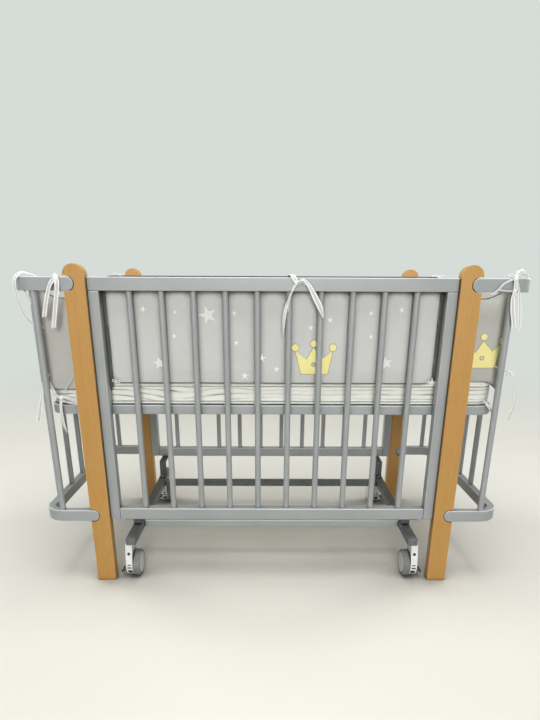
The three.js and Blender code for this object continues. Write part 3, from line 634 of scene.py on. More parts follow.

# %% [markdown]
# The straight rails and stiles are square timber with eased edges. Each takes its size from the model, so the
# fine shadow line between the stiles and the bottom rail stays where the model has it. The bars that carry the
# castors and the back stretcher take a darker copy of the crib's grey paint as painted shade, and the front
# stretcher takes the crib's own paint.

# %% Straight rails and stiles
rail_edge = 2.2
front_stretcher = "wheel_frame_stretcher_front"
straight_nodes = [
    "front_top_rail", "front_bottom_rail", "front_stile_left", "front_stile_right",
    "back_top_rail", "back_stile_left", "back_stile_right",
    "wheel_frame_bar_left", "wheel_frame_bar_right",
    front_stretcher, "wheel_frame_stretcher_back",
]
for node in straight_nodes:
    low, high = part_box(node)
    paint = shaded_bar_paint if node.startswith("wheel_frame") and node != front_stretcher else frame_paint
    put(f"{node}_timber", eased_block(node, low, high, rail_edge), paint, stands_for=[node], even_normals=True)
front_low, front_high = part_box("front_bottom_rail")
back_low, back_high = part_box("back_bottom_rail_and_spindles")
back_rail_top = Vector((back_high.x, back_high.y, front_high.z))
put("back_bottom_rail_timber", eased_block("back_bottom_rail", back_low, back_rail_top, rail_edge), frame_paint,
    stands_for=["back_bottom_rail_and_spindles"], even_normals=True)
print("straight timber:", len(straight_nodes) + 1, "pieces")

# %% [markdown]
# A spindle is a turned rod. It needs enough sides for a round outline, and its ends disappear in the rails'
# bores, so plain flat ends are enough. The spindles of the ends and of the back are glued into their rails.

# %% Spindles
spindle_radius = 0.008
spindle_low = 0.2145
spindle_high = 0.8285
spindle_sides = 28
spindles_in_a_row = 10
stile_inner = 0.4347


def spindle(x, y):
    rings = [
        [Vector((x + spindle_radius * math.cos(a), y + spindle_radius * math.sin(a), z))
         for a in full_circle(spindle_sides)]
        for z in (spindle_low, spindle_high)
    ]
    return skin("spindle", rings)


side_pitch = (2 * stile_inner + 2 * spindle_radius) / (spindles_in_a_row + 1)
side_places = [(k - (spindles_in_a_row - 1) / 2) * side_pitch for k in range(spindles_in_a_row)]
front_y = (front_low.y + front_high.y) / 2
for k, x in enumerate(side_places):
    node = f"front_spindle_{k + 1:02d}"
    put(f"{node}_rod", spindle(x, front_y), frame_paint, stands_for=[node])
    put(f"back_spindle_{k + 1:02d}_rod", spindle(x, -front_y), frame_paint)
end_places = [(0.594, -0.3), (0.594, 0.3)] + [(0.64, (k - 2) * 0.1) for k in range(5)]
for side_name, side in (("left", -1), ("right", 1)):
    for k, (x, y) in enumerate(end_places):
        put(f"{side_name}_end_spindle_{k + 1}_rod", spindle(side * x, y), frame_paint)
print("spindles:", 2 * len(side_places) + 2 * len(end_places))

# %% [markdown]
# An end rail is one strip of wood, steamed and bent into a U. It could be cut from a board, but then its grain
# and its even thickness would be wrong. Here a section with eased corners travels along the bent line, and
# shrinks in height near each end, which gives the round ends that lie in the legs.

# %% Bent end rails
rail_thickness = 20
rail_height = 33
bend_radius = 46
thinnest_end = 0.3
line_x = 640
line_y = 300
stub_mm = 490
stub_to_bend = 550


def bent_line():
    """Stations along one end rail in plan, in mm: place and outward normal, from front stub to back stub."""
    line = []
    corner_x = line_x - bend_radius
    corner_y = line_y - bend_radius
    for k in range(9):
        share = 1 - math.cos(0.5 * math.pi * k / 8)
        line.append((stub_mm + share * rail_height / 2, -line_y, 0, -1))
    line.append((stub_to_bend, -line_y, 0, -1))
    for k in range(17):
        angle = 0.5 * math.pi * k / 16
        line.append((corner_x + bend_radius * math.sin(angle), -corner_y - bend_radius * math.cos(angle),
                     math.sin(angle), -math.cos(angle)))
    for k in range(-2, 3):
        line.append((line_x, k * 80, 1, 0))
    back = [(x, -y, nx, -ny) for x, y, nx, ny in reversed(line[:-5])]
    return line + back


def bent_rail(name, side, low_z):
    rings = []
    middle = low_z + rail_height / 2
    rims = []
    for x, y, nx, ny in bent_line():
        inset = max(rail_height / 2 - (x - stub_mm), 0)
        up = 2 * math.sqrt(max((rail_height / 2) ** 2 - inset ** 2, thinnest_end ** 2))
        section, rims = eased_section(rail_thickness, up, rail_edge)
        rings.append([mm(side * (x + nx * a), y + ny * a, middle + b) for a, b in section])
    return skin(name, rings, rims=rims)


for side_name, side in (("left", -1), ("right", 1)):
    put(f"{side_name}_end_top_rail_strip", bent_rail("top", side, 817), frame_paint,
        stands_for=[f"{side_name}_end_top_rail"], even_normals=True)
    put(f"{side_name}_end_bottom_rail_strip", bent_rail("bottom", side, 193), frame_paint,
        stands_for=[f"{side_name}_end_bottom_rail_and_spindles"], even_normals=True)
print("four bent rails,", len(bent_line()), "stations each")

# %% [markdown]
# The mattress base is a painted frame with round corners and a step inside, and a plywood board lies in the
# step. The frame is a section that travels round a rounded rectangle and closes on itself.


# %% Mattress base
def round_corners(half_x, half_y, radius, steps=8, spacing=None):
    """Points round a rounded rectangle in plan, in mm, with the outward direction at each."""
    line = []
    for number, (sx, sy, start) in enumerate(four_corners):
        for k in range(steps + 1):
            angle = (start + 0.5 * k / steps) * math.pi
            nx, ny = math.cos(angle), math.sin(angle)
            line.append((sx * (half_x - radius) + radius * nx, sy * (half_y - radius) + radius * ny, nx, ny))
        if spacing:
            nsx, nsy, next_start = four_corners[(number + 1) % 4]
            nx, ny = math.cos(next_start * math.pi), math.sin(next_start * math.pi)
            x0, y0 = line[-1][0], line[-1][1]
            x1 = nsx * (half_x - radius) + radius * nx
            y1 = nsy * (half_y - radius) + radius * ny
            count = max(int(math.hypot(x1 - x0, y1 - y0) / spacing), 1)
            for k in range(1, count):
                line.append((x0 + (x1 - x0) * k / count, y0 + (y1 - y0) * k / count, nx, ny))
    return line


base_low, base_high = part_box("base_frame")
base_half_x = base_high.x / MM
base_half_y = base_high.y / MM
base_corner = 50
base_section = [  # how far out of the frame's outline, and how high, in mm
    (0, 2), (-0.6, 0.6), (-2, 0), (-24, 0), (-25.4, 0.6), (-26, 2), (-26, 15.7),
    (-13, 15.7), (-13, 24.6), (-12.6, 25), (-2, 25), (-0.6, 24.4), (0, 23),
]
base_rims = (0, 1, 3, 4, 10, 11)
base_rings = [
    [mm(x + nx * a, y + ny * a, base_low.z / MM + b) for a, b in base_section]
    for x, y, nx, ny in round_corners(base_half_x, base_half_y, base_corner, steps=12)
]
put("base_frame_ring", skin("base_frame_ring", base_rings, closed=True, rims=base_rims), frame_paint,
    stands_for=["base_frame"], sharp=45, even_normals=True)
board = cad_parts["base_board"]
board.data.materials.clear()
board.data.materials.append(plywood.material)
print("base frame", round(2 * base_half_x), "by", round(2 * base_half_y), "mm")

# %% [markdown]
# The mattress is a foam block in a white fitted cover. Its sides pull in a little between two piped seams, and
# the cover is loose on them, so soft folds run along the side and fan out from a few places where it is
# gathered. The form is built ring by ring from the bottom seam to the crown, and the folds are pushed into the
# side as shallow waves that swell and fade along the length. They are calmest right of the middle, and a groove
# runs along each seam.

# %% Mattress folds
mattress_low, mattress_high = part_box("mattress")
mattress_half_x = mattress_high.x / MM
mattress_half_y = mattress_high.y / MM
mattress_base = mattress_low.z / MM
mattress_corner = 48
fold_low = 5
fold_high = 51
calm_place = 110


def side_fold(x, y, up):
    """How far the cover stands in or out at a place on the side, in mm, and how much painted shade it gets
    there.
    """
    along = x if abs(y) > mattress_half_y - mattress_corner else 900 + y
    share = (up - fold_low) / (fold_high - fold_low)
    loose = min(max(0.55 - along / 420, 0.12), 1)
    drift = noise.noise(Vector((along * 0.006, 3.1, 0.4)))
    tilt = noise.noise(Vector((along * 0.013, 7.7, 0.3)))
    phase = 3.7 * share + loose * (1.3 * drift + 3.4 * tilt * (share - 0.4)) + 0.2
    rise = abs(math.sin(math.pi * phase))
    depth = 2.6 + 1.8 * noise.noise(Vector((along * 0.016, 1.9, share * 1.5)))
    fine = loose * noise.noise(Vector((along * 0.035, up * 0.12, 2.2)))
    window = math.sin(math.pi * share) ** 0.5
    push = window * (depth * (math.sqrt(rise) - 0.7) + 1.1 * fine) - 2.2 * math.sin(math.pi * share)
    calm = min(0.35 + abs(along - calm_place) / 400, 1)
    push *= calm
    groove = math.exp(-((min(up - fold_low, fold_high - up) - 2.4) / 1.1) ** 2)
    push -= 1.3 * groove
    broken = min(max(0.75 + 1.3 * noise.noise(Vector((along * 0.02, 5.5, share * 4))), 0), 1)
    crease_shade = (0.85 * max(1 - rise / 0.3, 0) + 0.35 * (1 - rise)) * window * broken
    return push, max(crease_shade * calm, 0.9 * groove)


print("folds from", fold_low, "to", fold_high, "mm above the mattress's underside")

# %% [markdown]
# The rings of the mattress run from its underside up the folded side to the crown, and each says how far it
# lies inside the outline. The short ends bulge by a few millimetres, and the crown is uneven by about one, as
# foam under a loose cover is.

# %% Mattress
side_height = 62
side_steps = 40
most_push = 0.8
end_bulge = 6
crown_height = 8
crown_inset = 210
crown_unevenness = 1.2
mattress_rows = [(60, 0.4, "flat"), (14, 0, "flat"), (5, 0.4, "flat"), (1.2, 1.6, "flat")]
for k in range(side_steps + 1):
    mattress_rows.append((0, fold_low + (fold_high - fold_low) * (k / side_steps), "side"))
mattress_rows += [(1.5, side_height - 3, "flat"), (5, side_height - 1, "flat"), (16, side_height, "flat")]
for k in range(1, 13):
    share = k / 12
    crown = crown_height * math.sin(0.5 * math.pi * min(1.6 * share, 1))
    mattress_rows.append((16 + crown_inset * share, side_height + crown, "crown"))
mattress_line = round_corners(mattress_half_x, mattress_half_y, mattress_corner, steps=12, spacing=6)
mattress_rings = []
for inset, up, kind in mattress_rows:
    ring = []
    for x, y, nx, ny in mattress_line:
        if kind == "side":
            push = min(side_fold(x, y, up)[0], most_push)
            bulge = end_bulge * abs(nx) * math.sin(math.pi * (up - fold_low) / (fold_high - fold_low)) ** 0.5
            ring.append(mm(x + nx * (push + bulge), y + ny * push, mattress_base + up))
            continue
        uneven = noise.noise(Vector((x * 0.006, y * 0.006, inset * 0.01)))
        lift = crown_unevenness * uneven if kind == "crown" else 0
        narrow_x = (mattress_half_x - inset) / mattress_half_x
        narrow_y = (mattress_half_y - inset) / mattress_half_y
        ring.append(mm(x * narrow_x, y * narrow_y, mattress_base + up + lift))
    mattress_rings.append(ring)
mattress_mesh = skin("mattress_cover", mattress_rings)
# Painted shade: faces deep in a fold or in a seam's groove take the mattress cotton's darker colour.
for face, mark in zip(mattress_mesh.polygons, mattress_mesh.attributes["painted_light"].data):
    x, y, z = face.center / MM
    if fold_low < z - mattress_base < fold_high:
        mark.value = side_fold(x, y, z - mattress_base)[1]
mattress = put("mattress_cover", mattress_mesh, mattress_cotton, stands_for=["mattress"], sharp=80)
print("mattress cover has", len(mattress.data.polygons), "faces")

# %% [markdown]
# Piping is a cord wrapped in cloth and sewn into a seam. It is a thin tube that follows the seam. One helper
# sweeps a tube along any line of points, open or closed, and turns its section smoothly from point to point.

# %% Tubes and piping
tube_sides = 8
mattress_piping = 2.5


def way_along(points, k, closed):
    """The direction of a line of points at one of them, from the point before it to the one after it."""
    count = len(points)
    before = points[(k - 1) % count] if closed or k else points[k]
    after = points[(k + 1) % count] if closed or k < count - 1 else points[k]
    return (after - before).normalized()


def tube(name, points, radius, closed=False):
    rings = []
    side_way = None
    for k, point in enumerate(points):
        along = way_along(points, k, closed)
        if side_way is None:
            side_way = along.cross(Vector((0, 0, 1)) if abs(along.z) < 0.9 else Vector((1, 0, 0)))
        side_way = (side_way - along * side_way.dot(along)).normalized()
        up_way = along.cross(side_way)
        rings.append([
            point + radius * (side_way * math.cos(a) + up_way * math.sin(a))
            for a in full_circle(tube_sides)
        ])
    return skin(name, rings, closed=closed)


mattress_seam = round_corners(mattress_half_x, mattress_half_y, mattress_corner, steps=10, spacing=24)
for seam_name, up, out in (("bottom", 2.9, 1.2), ("top", 53.0, 1.0)):
    line = [
        mm(x + out * nx, y + out * ny, mattress_base + up + 0.3 * math.sin(x * 0.03))
        for x, y, nx, ny in mattress_seam
    ]
    piping = tube("piping", line, mattress_piping * MM, closed=True)
    put(f"mattress_{seam_name}_piping", piping, mattress_cotton, sharp=80)
print("mattress piped at two seams")

# %% [markdown]
# The bumper pads are thin quilt batting between two layers of cotton. Both layers meet in a piped seam round
# the edge, and the pad is fullest in its middle. Each pad is first drawn as a grid that follows a line in plan:
# straight for the front and back, and bent like the end rails for the ends. A drawn pad is too even, so cloth
# simulation then blows it up a little from inside while its seam is held, which gives it soft swells and
# dimples along the seam. The pad is drawn thinner than it ends up.

# %% Pad form
seam_depth = 0.2
grid_spacing = 9


def fullness(distance, roll):
    short = 1 - min(max(distance, 0) / roll, 1)
    return math.sqrt(1 - short * short)


def steps_between(low, high, near):
    count = max(round((high - low) / near), 1)
    return [low + (high - low) * k / count for k in range(count + 1)]


def pad_grid(name, length, height, thickness, corner, roll, at, sag=None):
    """A pad of two skins. at(distance, up, depth) gives a point in mm; depth 0 is the outer face."""
    build = bmesh.new()
    rows_along = [corner * (1 - math.cos(0.5 * math.pi * k / 8)) for k in range(9)]
    rows_along += steps_between(corner, length - corner, grid_spacing)[1:-1]
    rows_along += [length - d for d in reversed(rows_along[:9])]
    shares = [0.5 * (1 - math.cos(math.pi * k / 28)) for k in range(29)]
    grid = [[], []]
    for side in (0, 1):
        for i, distance in enumerate(rows_along):
            edge = min(distance, length - distance)
            away = corner - min(edge, corner)
            low = corner - math.sqrt(max(corner * corner - away * away, 0))
            top = height - (sag(distance) if sag else 0)
            row = []
            for j, share in enumerate(shares):
                on_border = i in (0, len(rows_along) - 1) or j in (0, len(shares) - 1)
                if side == 1 and on_border:
                    row.append(grid[0][i][j])
                    continue
                up = low + share * (top - 2 * low)
                full = fullness(edge, roll) * fullness(min(up, top - up), roll)
                soft = 0.88 + 0.24 * noise.noise(Vector((distance * 0.012, up * 0.012, side * 9.1)))
                swell = -seam_depth if side == 0 else (1 - seam_depth) * soft
                row.append(build.verts.new(mm(*at(distance, up, thickness * (seam_depth + swell * full)))))
            grid[side].append(row)
    for i in range(len(rows_along) - 1):
        for j in range(len(shares) - 1):
            for side in (0, 1):
                g = grid[side]
                corners = list(dict.fromkeys([g[i][j], g[i + 1][j], g[i + 1][j + 1], g[i][j + 1]]))
                if len(corners) > 2 and not build.faces.get(corners):
                    build.faces.new(corners if side == 0 else list(reversed(corners)))
    first = grid[0]
    border = [row[0].co.copy() for row in first]
    border += [v.co.copy() for v in first[-1][1:]]
    border += [row[-1].co.copy() for row in reversed(first[:-1])]
    border += [v.co.copy() for v in reversed(first[0][1:-1])]
    return finished_mesh(name, build), border


def even_line(points, spacing):
    """The same closed line with points an even distance apart."""
    lengths = [(points[(k + 1) % len(points)] - p).length for k, p in enumerate(points)]
    total = sum(lengths)
    count = max(int(total / spacing), 8)
    result, k, run = [], 0, 0.0
    for n in range(count):
        target = total * n / count
        while run + lengths[k] < target:
            run += lengths[k]
            k += 1
        share = (target - run) / max(lengths[k], 1e-9)
        result.append(points[k].lerp(points[(k + 1) % len(points)], share))
    return result


print("pad helpers ready")

# %% [markdown]
# The simulation needs cloth of even triangles, so the drawn pad is remeshed first. Points near the seam are
# held, the more the nearer they lie, and the rest is pushed out by air pressure for a few frames. No point may
# move further than a few millimetres, so the pad keeps its drawn shape and stays clear of the rails.

# %% Blow up a pad
sim_frames = 20
cloth_voxel = 6
cloth_pressure = 4.0
held_within = 5.0


def with_modifier_applied(thing):
    bpy.context.view_layer.update()
    return bpy.data.meshes.new_from_object(thing.evaluated_get(bpy.context.evaluated_depsgraph_get()))


def blown(mesh, seam_line, cap):
    """The pad after a short cloth simulation: pushed out from inside, held along its seam. Sizes in mm."""
    thing = bpy.data.objects.new("pad_in_work", mesh)
    bpy.context.scene.collection.objects.link(thing)
    remesh = thing.modifiers.new("even cloth", "REMESH")
    remesh.mode = "VOXEL"
    remesh.voxel_size = cloth_voxel * MM
    even = with_modifier_applied(thing)
    thing.modifiers.clear()
    thing.data = even
    finder = BVHTree.FromPolygons(
        [p for a, b in zip(seam_line, seam_line[1:] + seam_line[:1]) for p in (a, b, (a + b) / 2)],
        [(3 * k, 3 * k + 1, 3 * k + 2) for k in range(len(seam_line))])
    held = thing.vertex_groups.new(name="seam")
    for vertex in even.vertices:
        gap = finder.find_nearest(vertex.co)[3] / MM
        if gap < held_within:
            held.add([vertex.index], 1.0 - 0.5 * gap / held_within, "REPLACE")
    cloth = thing.modifiers.new("cloth", "CLOTH")
    cloth.settings.quality = 5
    cloth.settings.use_pressure = True
    cloth.settings.uniform_pressure_force = cloth_pressure
    cloth.settings.tension_stiffness = 12
    cloth.settings.compression_stiffness = 8
    cloth.settings.bending_stiffness = 0.4
    cloth.settings.vertex_group_mass = held.name
    cloth.settings.effector_weights.gravity = 0
    cloth.point_cache.frame_start = 1
    cloth.point_cache.frame_end = sim_frames
    for step in range(1, sim_frames + 1):
        bpy.context.scene.frame_set(step)
    swollen = with_modifier_applied(thing)
    for before, after in zip(even.vertices, swollen.vertices):
        move = after.co - before.co
        if move.length > cap * MM:
            move *= cap * MM / move.length
        after.co = before.co + move
    thing.modifiers.clear()
    thing.data = swollen
    thing.vertex_groups.clear()
    thing.modifiers.new("finer cloth", "SUBSURF").levels = 1
    finer = with_modifier_applied(thing)
    bpy.context.scene.frame_set(1)
    bpy.data.objects.remove(thing)
    return finer


print("simulation", "used")

# %% [markdown]
# The front and back pads are straight. Their thin piping is sewn on last, where the seam came to lie after
# the simulation; its dark grey is painted shade for the line round each pad. A pad that leans on its rails
# can't swell through them, so it is flattened there.

# %% Front and back bumper pads
piping_radius = 1.2
piping_spacing = 10
rail_gap = 0.2


def surface_of(mesh):
    return BVHTree.FromPolygons([v.co for v in mesh.vertices], [tuple(p.vertices) for p in mesh.polygons])


def piped(name, pad_mesh, seam_line):
    """Sews the piping of a pad where its seam came to lie after it was blown up."""
    surface = surface_of(pad_mesh)
    line = [surface.find_nearest(point)[0] for point in even_line(seam_line, piping_spacing * MM)]
    eased = [(a + b * 2 + c) / 4 for a, b, c in zip(line[-1:] + line[:-1], line, line[1:] + line[:1])]
    piping = tube("piping", eased, piping_radius * MM, closed=True)
    return put(f"{name}_piping", piping, piping_shade_cotton, sharp=80)


def keep_between(mesh, low_y, high_y):
    """Flattens a straight pad where it would press through the rails that it leans on."""
    for vertex in mesh.vertices:
        vertex.co.y = min(max(vertex.co.y, low_y), high_y)


bumper_low, bumper_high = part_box("bumper_front")
bumper_length = (bumper_high.x - bumper_low.x) / MM
bumper_height = (bumper_high.z - bumper_low.z) / MM + 3
bumper_base = bumper_low.z / MM - 3.5
bumper_face = -bumper_low.y / MM
bumper_corner = 14
pads = {}
for side_name, way in (("front", 1), ("back", -1)):

    def straight_point(distance, up, depth):
        return way * (distance - bumper_length / 2), way * (depth + 2.5 - bumper_face), bumper_base + up

    pad_mesh, seam_line = pad_grid(
        f"bumper_{side_name}", bumper_length, bumper_height, 15, bumper_corner, 30, straight_point)
    pad_mesh = blown(pad_mesh, seam_line, cap=6)
    pad_low, pad_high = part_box(f"bumper_{side_name}")
    keep_between(pad_mesh, pad_low.y + rail_gap * MM, pad_high.y - rail_gap * MM)
    pads[side_name] = put(f"bumper_{side_name}_pad", pad_mesh, bumper_cotton,
                          stands_for=[f"bumper_{side_name}"], sharp=80)
    piped(f"bumper_{side_name}", pad_mesh, seam_line)
print("two straight pads,", round(bumper_length), "by", round(bumper_height), "mm")

# %% [markdown]
# An end pad wraps from the front round the end to the back. It is tied at its corners, and its top edge sags
# between the ties: it hangs a good 3 cm low beside the front leg. The lower edge of the right pad is drawn up
# beside the front leg, as the photograph shows. The thin free edges are tucked in a centimetre past the ends of
# the front and back pads, so no light comes through there, and they carry painted shade, because they lie deep
# in a narrow gap behind the stiles.

# %% End bumper pads
end_low, end_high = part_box("bumper_left")
end_height = (end_high.z - end_low.z) / MM
end_base = end_low.z / MM
end_x = -end_low.x / MM
end_y = -end_low.y / MM
end_corner = 44
end_tuck = 10
shade_from_x = 443
shade_from_y = 261
deepest_sag = 32
side_sag = 10
front_lift = 23
end_start = -end_high.x / MM - end_tuck
end_reach = end_x - end_corner - end_start
end_arc = end_corner * math.pi / 2
end_side = 2 * (end_y - end_corner)
end_length = 2 * end_reach + 2 * end_arc + end_side


def end_place(distance):
    """Place and inward direction along the left end pad, in mm, from the front leg round to the back leg."""
    if distance < end_reach:
        return -end_start - distance, -end_y, 0, 1
    distance -= end_reach
    if distance < end_arc:
        a = distance / end_corner
        return (end_corner - end_x - end_corner * math.sin(a), end_corner - end_y - end_corner * math.cos(a),
                math.sin(a), math.cos(a))
    distance -= end_arc
    if distance < end_side:
        return -end_x, distance - end_side / 2, 1, 0
    distance -= end_side
    if distance < end_arc:
        a = distance / end_corner
        return (end_corner - end_x - end_corner * math.cos(a), end_y - end_corner + end_corner * math.sin(a),
                math.cos(a), -math.sin(a))
    distance -= end_arc
    return end_corner - end_x + distance, end_y, 0, -1


def end_sag(distance):
    """The top edge hangs lower between the places where it is tied."""
    ties = (end_reach + end_arc / 2, end_length / 2, end_length - end_reach - end_arc / 2)
    nearest = min(abs(distance - t) for t in ties)
    from_end = min(distance, end_length - distance)
    deepest = deepest_sag * min(from_end / 60, 1) if from_end < end_reach else side_sag
    return deepest * (1 - math.cos(min(nearest / 80, 1) * math.pi)) / 2


# The right pad is the left one mirrored, so distances on both run from the front leg round to the back leg
for side_name, way in (("left", 1), ("right", -1)):

    def end_point(distance, up, depth):
        x, y, nx, ny = end_place(distance)
        if side_name == "right":
            up += front_lift * min(max((end_reach + 20 - distance) / 24, 0), 1) * (1 - up / end_height)
        return way * (x + nx * (depth + 0.8)), y + ny * (depth + 0.8), end_base + up

    pad_mesh, seam_line = pad_grid(
        f"bumper_{side_name}", end_length, end_height, 10.5, bumper_corner, 26, end_point, sag=end_sag)
    pad_mesh = blown(pad_mesh, seam_line, cap=4)
    # Painted shade on the free edges, which lie deep in the gap behind the stiles.
    marks = pad_mesh.attributes.new("painted_light", "FLOAT", "POINT")
    for vertex, mark in zip(pad_mesh.vertices, marks.data):
        hidden = min(max((shade_from_x - abs(vertex.co.x) / MM) / 4, 0), 1)
        mark.value = hidden * min(max((abs(vertex.co.y) / MM - shade_from_y) / 3, 0), 1)
    pads[side_name] = put(f"bumper_{side_name}_pad", pad_mesh, shaded_end_cotton,
                          stands_for=[f"bumper_{side_name}"], sharp=80)
    piped(f"bumper_{side_name}", pad_mesh, seam_line)
print("two end pads,", round(end_length), "mm long")

# %% [markdown]
# The pads are printed with plain five-pointed stars and a simple three-point crown. Ink has no thickness that
# shows, so each motif is a thin sheet of its own colour laid on the pad's face. Its outline shrinks in steps to
# its middle, like the rings of a web, and each point of the web is dropped on the pad along a straight line and
# lifted by half a millimetre, so the sheet follows every swell.

# %% Outlines of the print
star_points = 5


def star_outline(size, waist, turn):
    outline = []
    for k in range(2 * star_points):
        radius = size / 2 * (1 if k % 2 == 0 else waist)
        angle = math.pi / 2 + turn + math.pi * k / star_points
        outline.append((radius * math.cos(angle), radius * math.sin(angle)))
    return outline


def grown(outline, amount):
    centre = sum((Vector(point) for point in outline), Vector((0, 0))) / len(outline)
    result = []
    for point in outline:
        away = Vector(point) - centre
        result.append(tuple(centre + away * (away.length + amount) / away.length))
    return result


def ring_outline(a, b, radius):
    return [(a + radius * math.cos(t), b + radius * math.sin(t)) for t in full_circle(24)]


def heart_of(corners):
    """The point that a cut-out of the shape would balance on."""
    area = 0
    heart = Vector((0, 0))
    for p, q in zip(corners, corners[1:] + corners[:1]):
        part = p.x * q.y - q.x * p.y
        area += part
        heart += (p + q) * part
    return heart / (3 * area)


print("stars have", star_points, "points, and the crown has three")


# %% Lay a print on a pad
def print_on(name, shapes, finish, drop, lift, heart=None):
    """Lays flat shapes on a pad. drop turns (a, b) into a point on the pad and the way off its face."""
    build = bmesh.new()
    for outline in shapes:
        corners = [Vector(point) for point in outline]
        middle = Vector(heart) if heart and outline is shapes[0] else heart_of(corners)
        line = []
        for k, corner in enumerate(corners):
            following = corners[(k + 1) % len(corners)]
            cuts = max(math.ceil((following - corner).length / 4), 1)
            line += [corner.lerp(following, n / cuts) for n in range(cuts)]
        web = max(math.ceil(max((point - middle).length for point in line) / 5), 1)
        rows = []
        for step in range(web):
            row = []
            for point in line:
                place, off = drop(*middle.lerp(point, 1 - step / web))
                row.append(build.verts.new(place + off * lift * MM))
            rows.append(row)
        place, off = drop(*middle)
        centre_vert = build.verts.new(place + off * lift * MM)
        count = len(line)
        for row, inner in zip(rows, rows[1:]):
            for k in range(count):
                n = (k + 1) % count
                build.faces.new((row[k], row[n], inner[n], inner[k]))
        for k in range(count):
            build.faces.new((rows[-1][k], rows[-1][(k + 1) % count], centre_vert))
    build.normal_update()
    if centre_vert.link_faces[0].normal.dot(off) < 0:
        bmesh.ops.reverse_faces(build, faces=build.faces[:])
    mesh = bpy.data.meshes.new(name)
    build.to_mesh(mesh)
    build.free()
    return put(name, mesh, finish, sharp=180)


def straight_drop(tree, from_y, way):
    """Drops points on a straight pad from a plane in front of it. a is X and b is Z, in mm."""
    direction = Vector((0, way, 0))

    def drop(a, b):
        origin = mm(a, from_y, b)
        place = tree.ray_cast(origin, direction)[0]
        return place or tree.find_nearest(origin)[0], -direction
    return drop


def wrapped_drop(tree, side, outside):
    """Drops points on an end pad. a is the distance along it from the front leg, and b is Z, in mm."""
    def drop(a, b):
        x, y, nx, ny = end_place(a)
        inward = Vector((side * nx, ny, 0))
        away = -60 if outside else 60
        direction = inward if outside else -inward
        origin = mm(side * x, y, b) + inward * away * MM
        place = tree.ray_cast(origin, direction)[0]
        return place or tree.find_nearest(origin)[0], -direction
    return drop


print("prints can be laid on straight and on wrapped pads")

# %% [markdown]
# The crown is one shape with straight sides, three balls and a round stone, laid in thin sheets one over the
# other: first a wider sheet in the line's colour, then the yellow fill. The stars come in three sizes and some
# dots. Each place is given along the pad and in height, in millimetres.

# %% Crown and stars
crown_body = [(-32, -38), (39, -38), (50.5, 23), (25.7, 5), (0, 31), (-18.3, 1), (-48, 23)]
crown_balls = [(-48, 31.5, 9.2), (0, 42, 8.6), (50.5, 32, 9.2)]
crown_stone = (0.8, -12.3)
small, middling, big = 20, 38, 50
dot = 10.5
front_stars = [
    (-333, 772, small), (-168, 758, big), (-251, 765, dot * 1.4), (-257, 705, dot * 1.6), (-300, 635, middling),
    (-100, 763, dot * 1.5), (-96, 688, small * 0.9), (-74, 602, small * 1.3), (-29, 649, small * 1.3),
    (10, 620, small), (98, 727, dot * 1.7), (147, 747, dot * 1.7), (252, 764, dot * 1.6), (256, 705, dot * 1.6),
    (330, 772, small), (300, 637, middling), (-27, 738, dot * 0.5), (-52, 634, dot * 0.5),
]
end_stars = [
    (60, 700, small), (200, 760, small), (235, 640, middling), (300, 730, big), (355, 640, small),
    (420, 700, dot * 1.6), (470, 770, small), (520, 650, big), (590, 720, small), (640, 640, dot * 1.6),
    (760, 700, middling),
]


def print_crown(name, a, b, drop):
    body = [(a + x, b + z) for x, z in crown_body]
    balls = [(a + x, b + z, radius) for x, z, radius in crown_balls]
    heart = (a, b - 20)
    outer = [grown(body, 1.7)] + [ring_outline(x, z, r + 1.3) for x, z, r in balls]
    print_on(f"{name}_line", outer, crown_line, drop, 0.4, heart)
    print_on(f"{name}_fill", [body] + [ring_outline(*ball) for ball in balls], crown_print, drop, 0.7, heart)
    stone_a, stone_b = a + crown_stone[0], b + crown_stone[1]
    print_on(f"{name}_stone_line", [ring_outline(stone_a, stone_b, 6)], crown_line, drop, 1.0)
    print_on(f"{name}_stone", [ring_outline(stone_a, stone_b, 4.2)], bumper_cotton, drop, 1.3)


def print_stars(name, stars, drop):
    thin, full = [], []
    for number, (a, b, size) in enumerate(stars):
        turn = math.radians((number * 37) % 40 - 20)
        if size > 30:
            full.append([(a + x, b + z) for x, z in star_outline(size, 0.42, turn)])
        else:
            thin.append([(a + x, b + z) for x, z in star_outline(size * 1.15, 0.25, turn)])
    print_on(f"{name}_small", thin, white_print, drop, 0.5)
    print_on(f"{name}_large", full, star_print, drop, 0.5)


print(len(front_stars), "stars on a straight pad,", len(end_stars), "on an end pad")

# %% Print the pads
front_tree = surface_of(pads["front"].data)
back_tree = surface_of(pads["back"].data)
straight_faces = {
    "front_outside": straight_drop(front_tree, -400, 1), "front_inside": straight_drop(front_tree, 0, -1),
    "back_outside": straight_drop(back_tree, 400, -1), "back_inside": straight_drop(back_tree, 0, 1),
}
for face_name, drop in straight_faces.items():
    print_stars(f"stars_{face_name}", front_stars, drop)
    print_crown(f"crown_{face_name}", 107, 645, drop)
print_crown("crown_back_inside_high", 372, 800, straight_faces["back_inside"])
right_crown_distance = 550 - end_start
for side_name, way in (("left", 1), ("right", -1)):
    tree = surface_of(pads[side_name].data)
    for face_name, outside in (("outside", True), ("inside", False)):
        drop = wrapped_drop(tree, way, outside)
        print_stars(f"stars_{side_name}_{face_name}", end_stars, drop)
        if side_name == "right":
            print_crown(f"crown_{side_name}_{face_name}", right_crown_distance, 664, drop)
        print_crown(f"crown_{side_name}_{face_name}_end", 410, 640, drop)
print("pads printed")

# %% [markdown]
# The ribbon ties are folded cotton tape, about a centimetre wide, so each has two thick edges and a flat band
# between them that lies lower and gets painted shade. A strip follows a smooth line through a few points. At
# each point it knows how wide it looks and which way its face turns, so it can twist as it hangs.

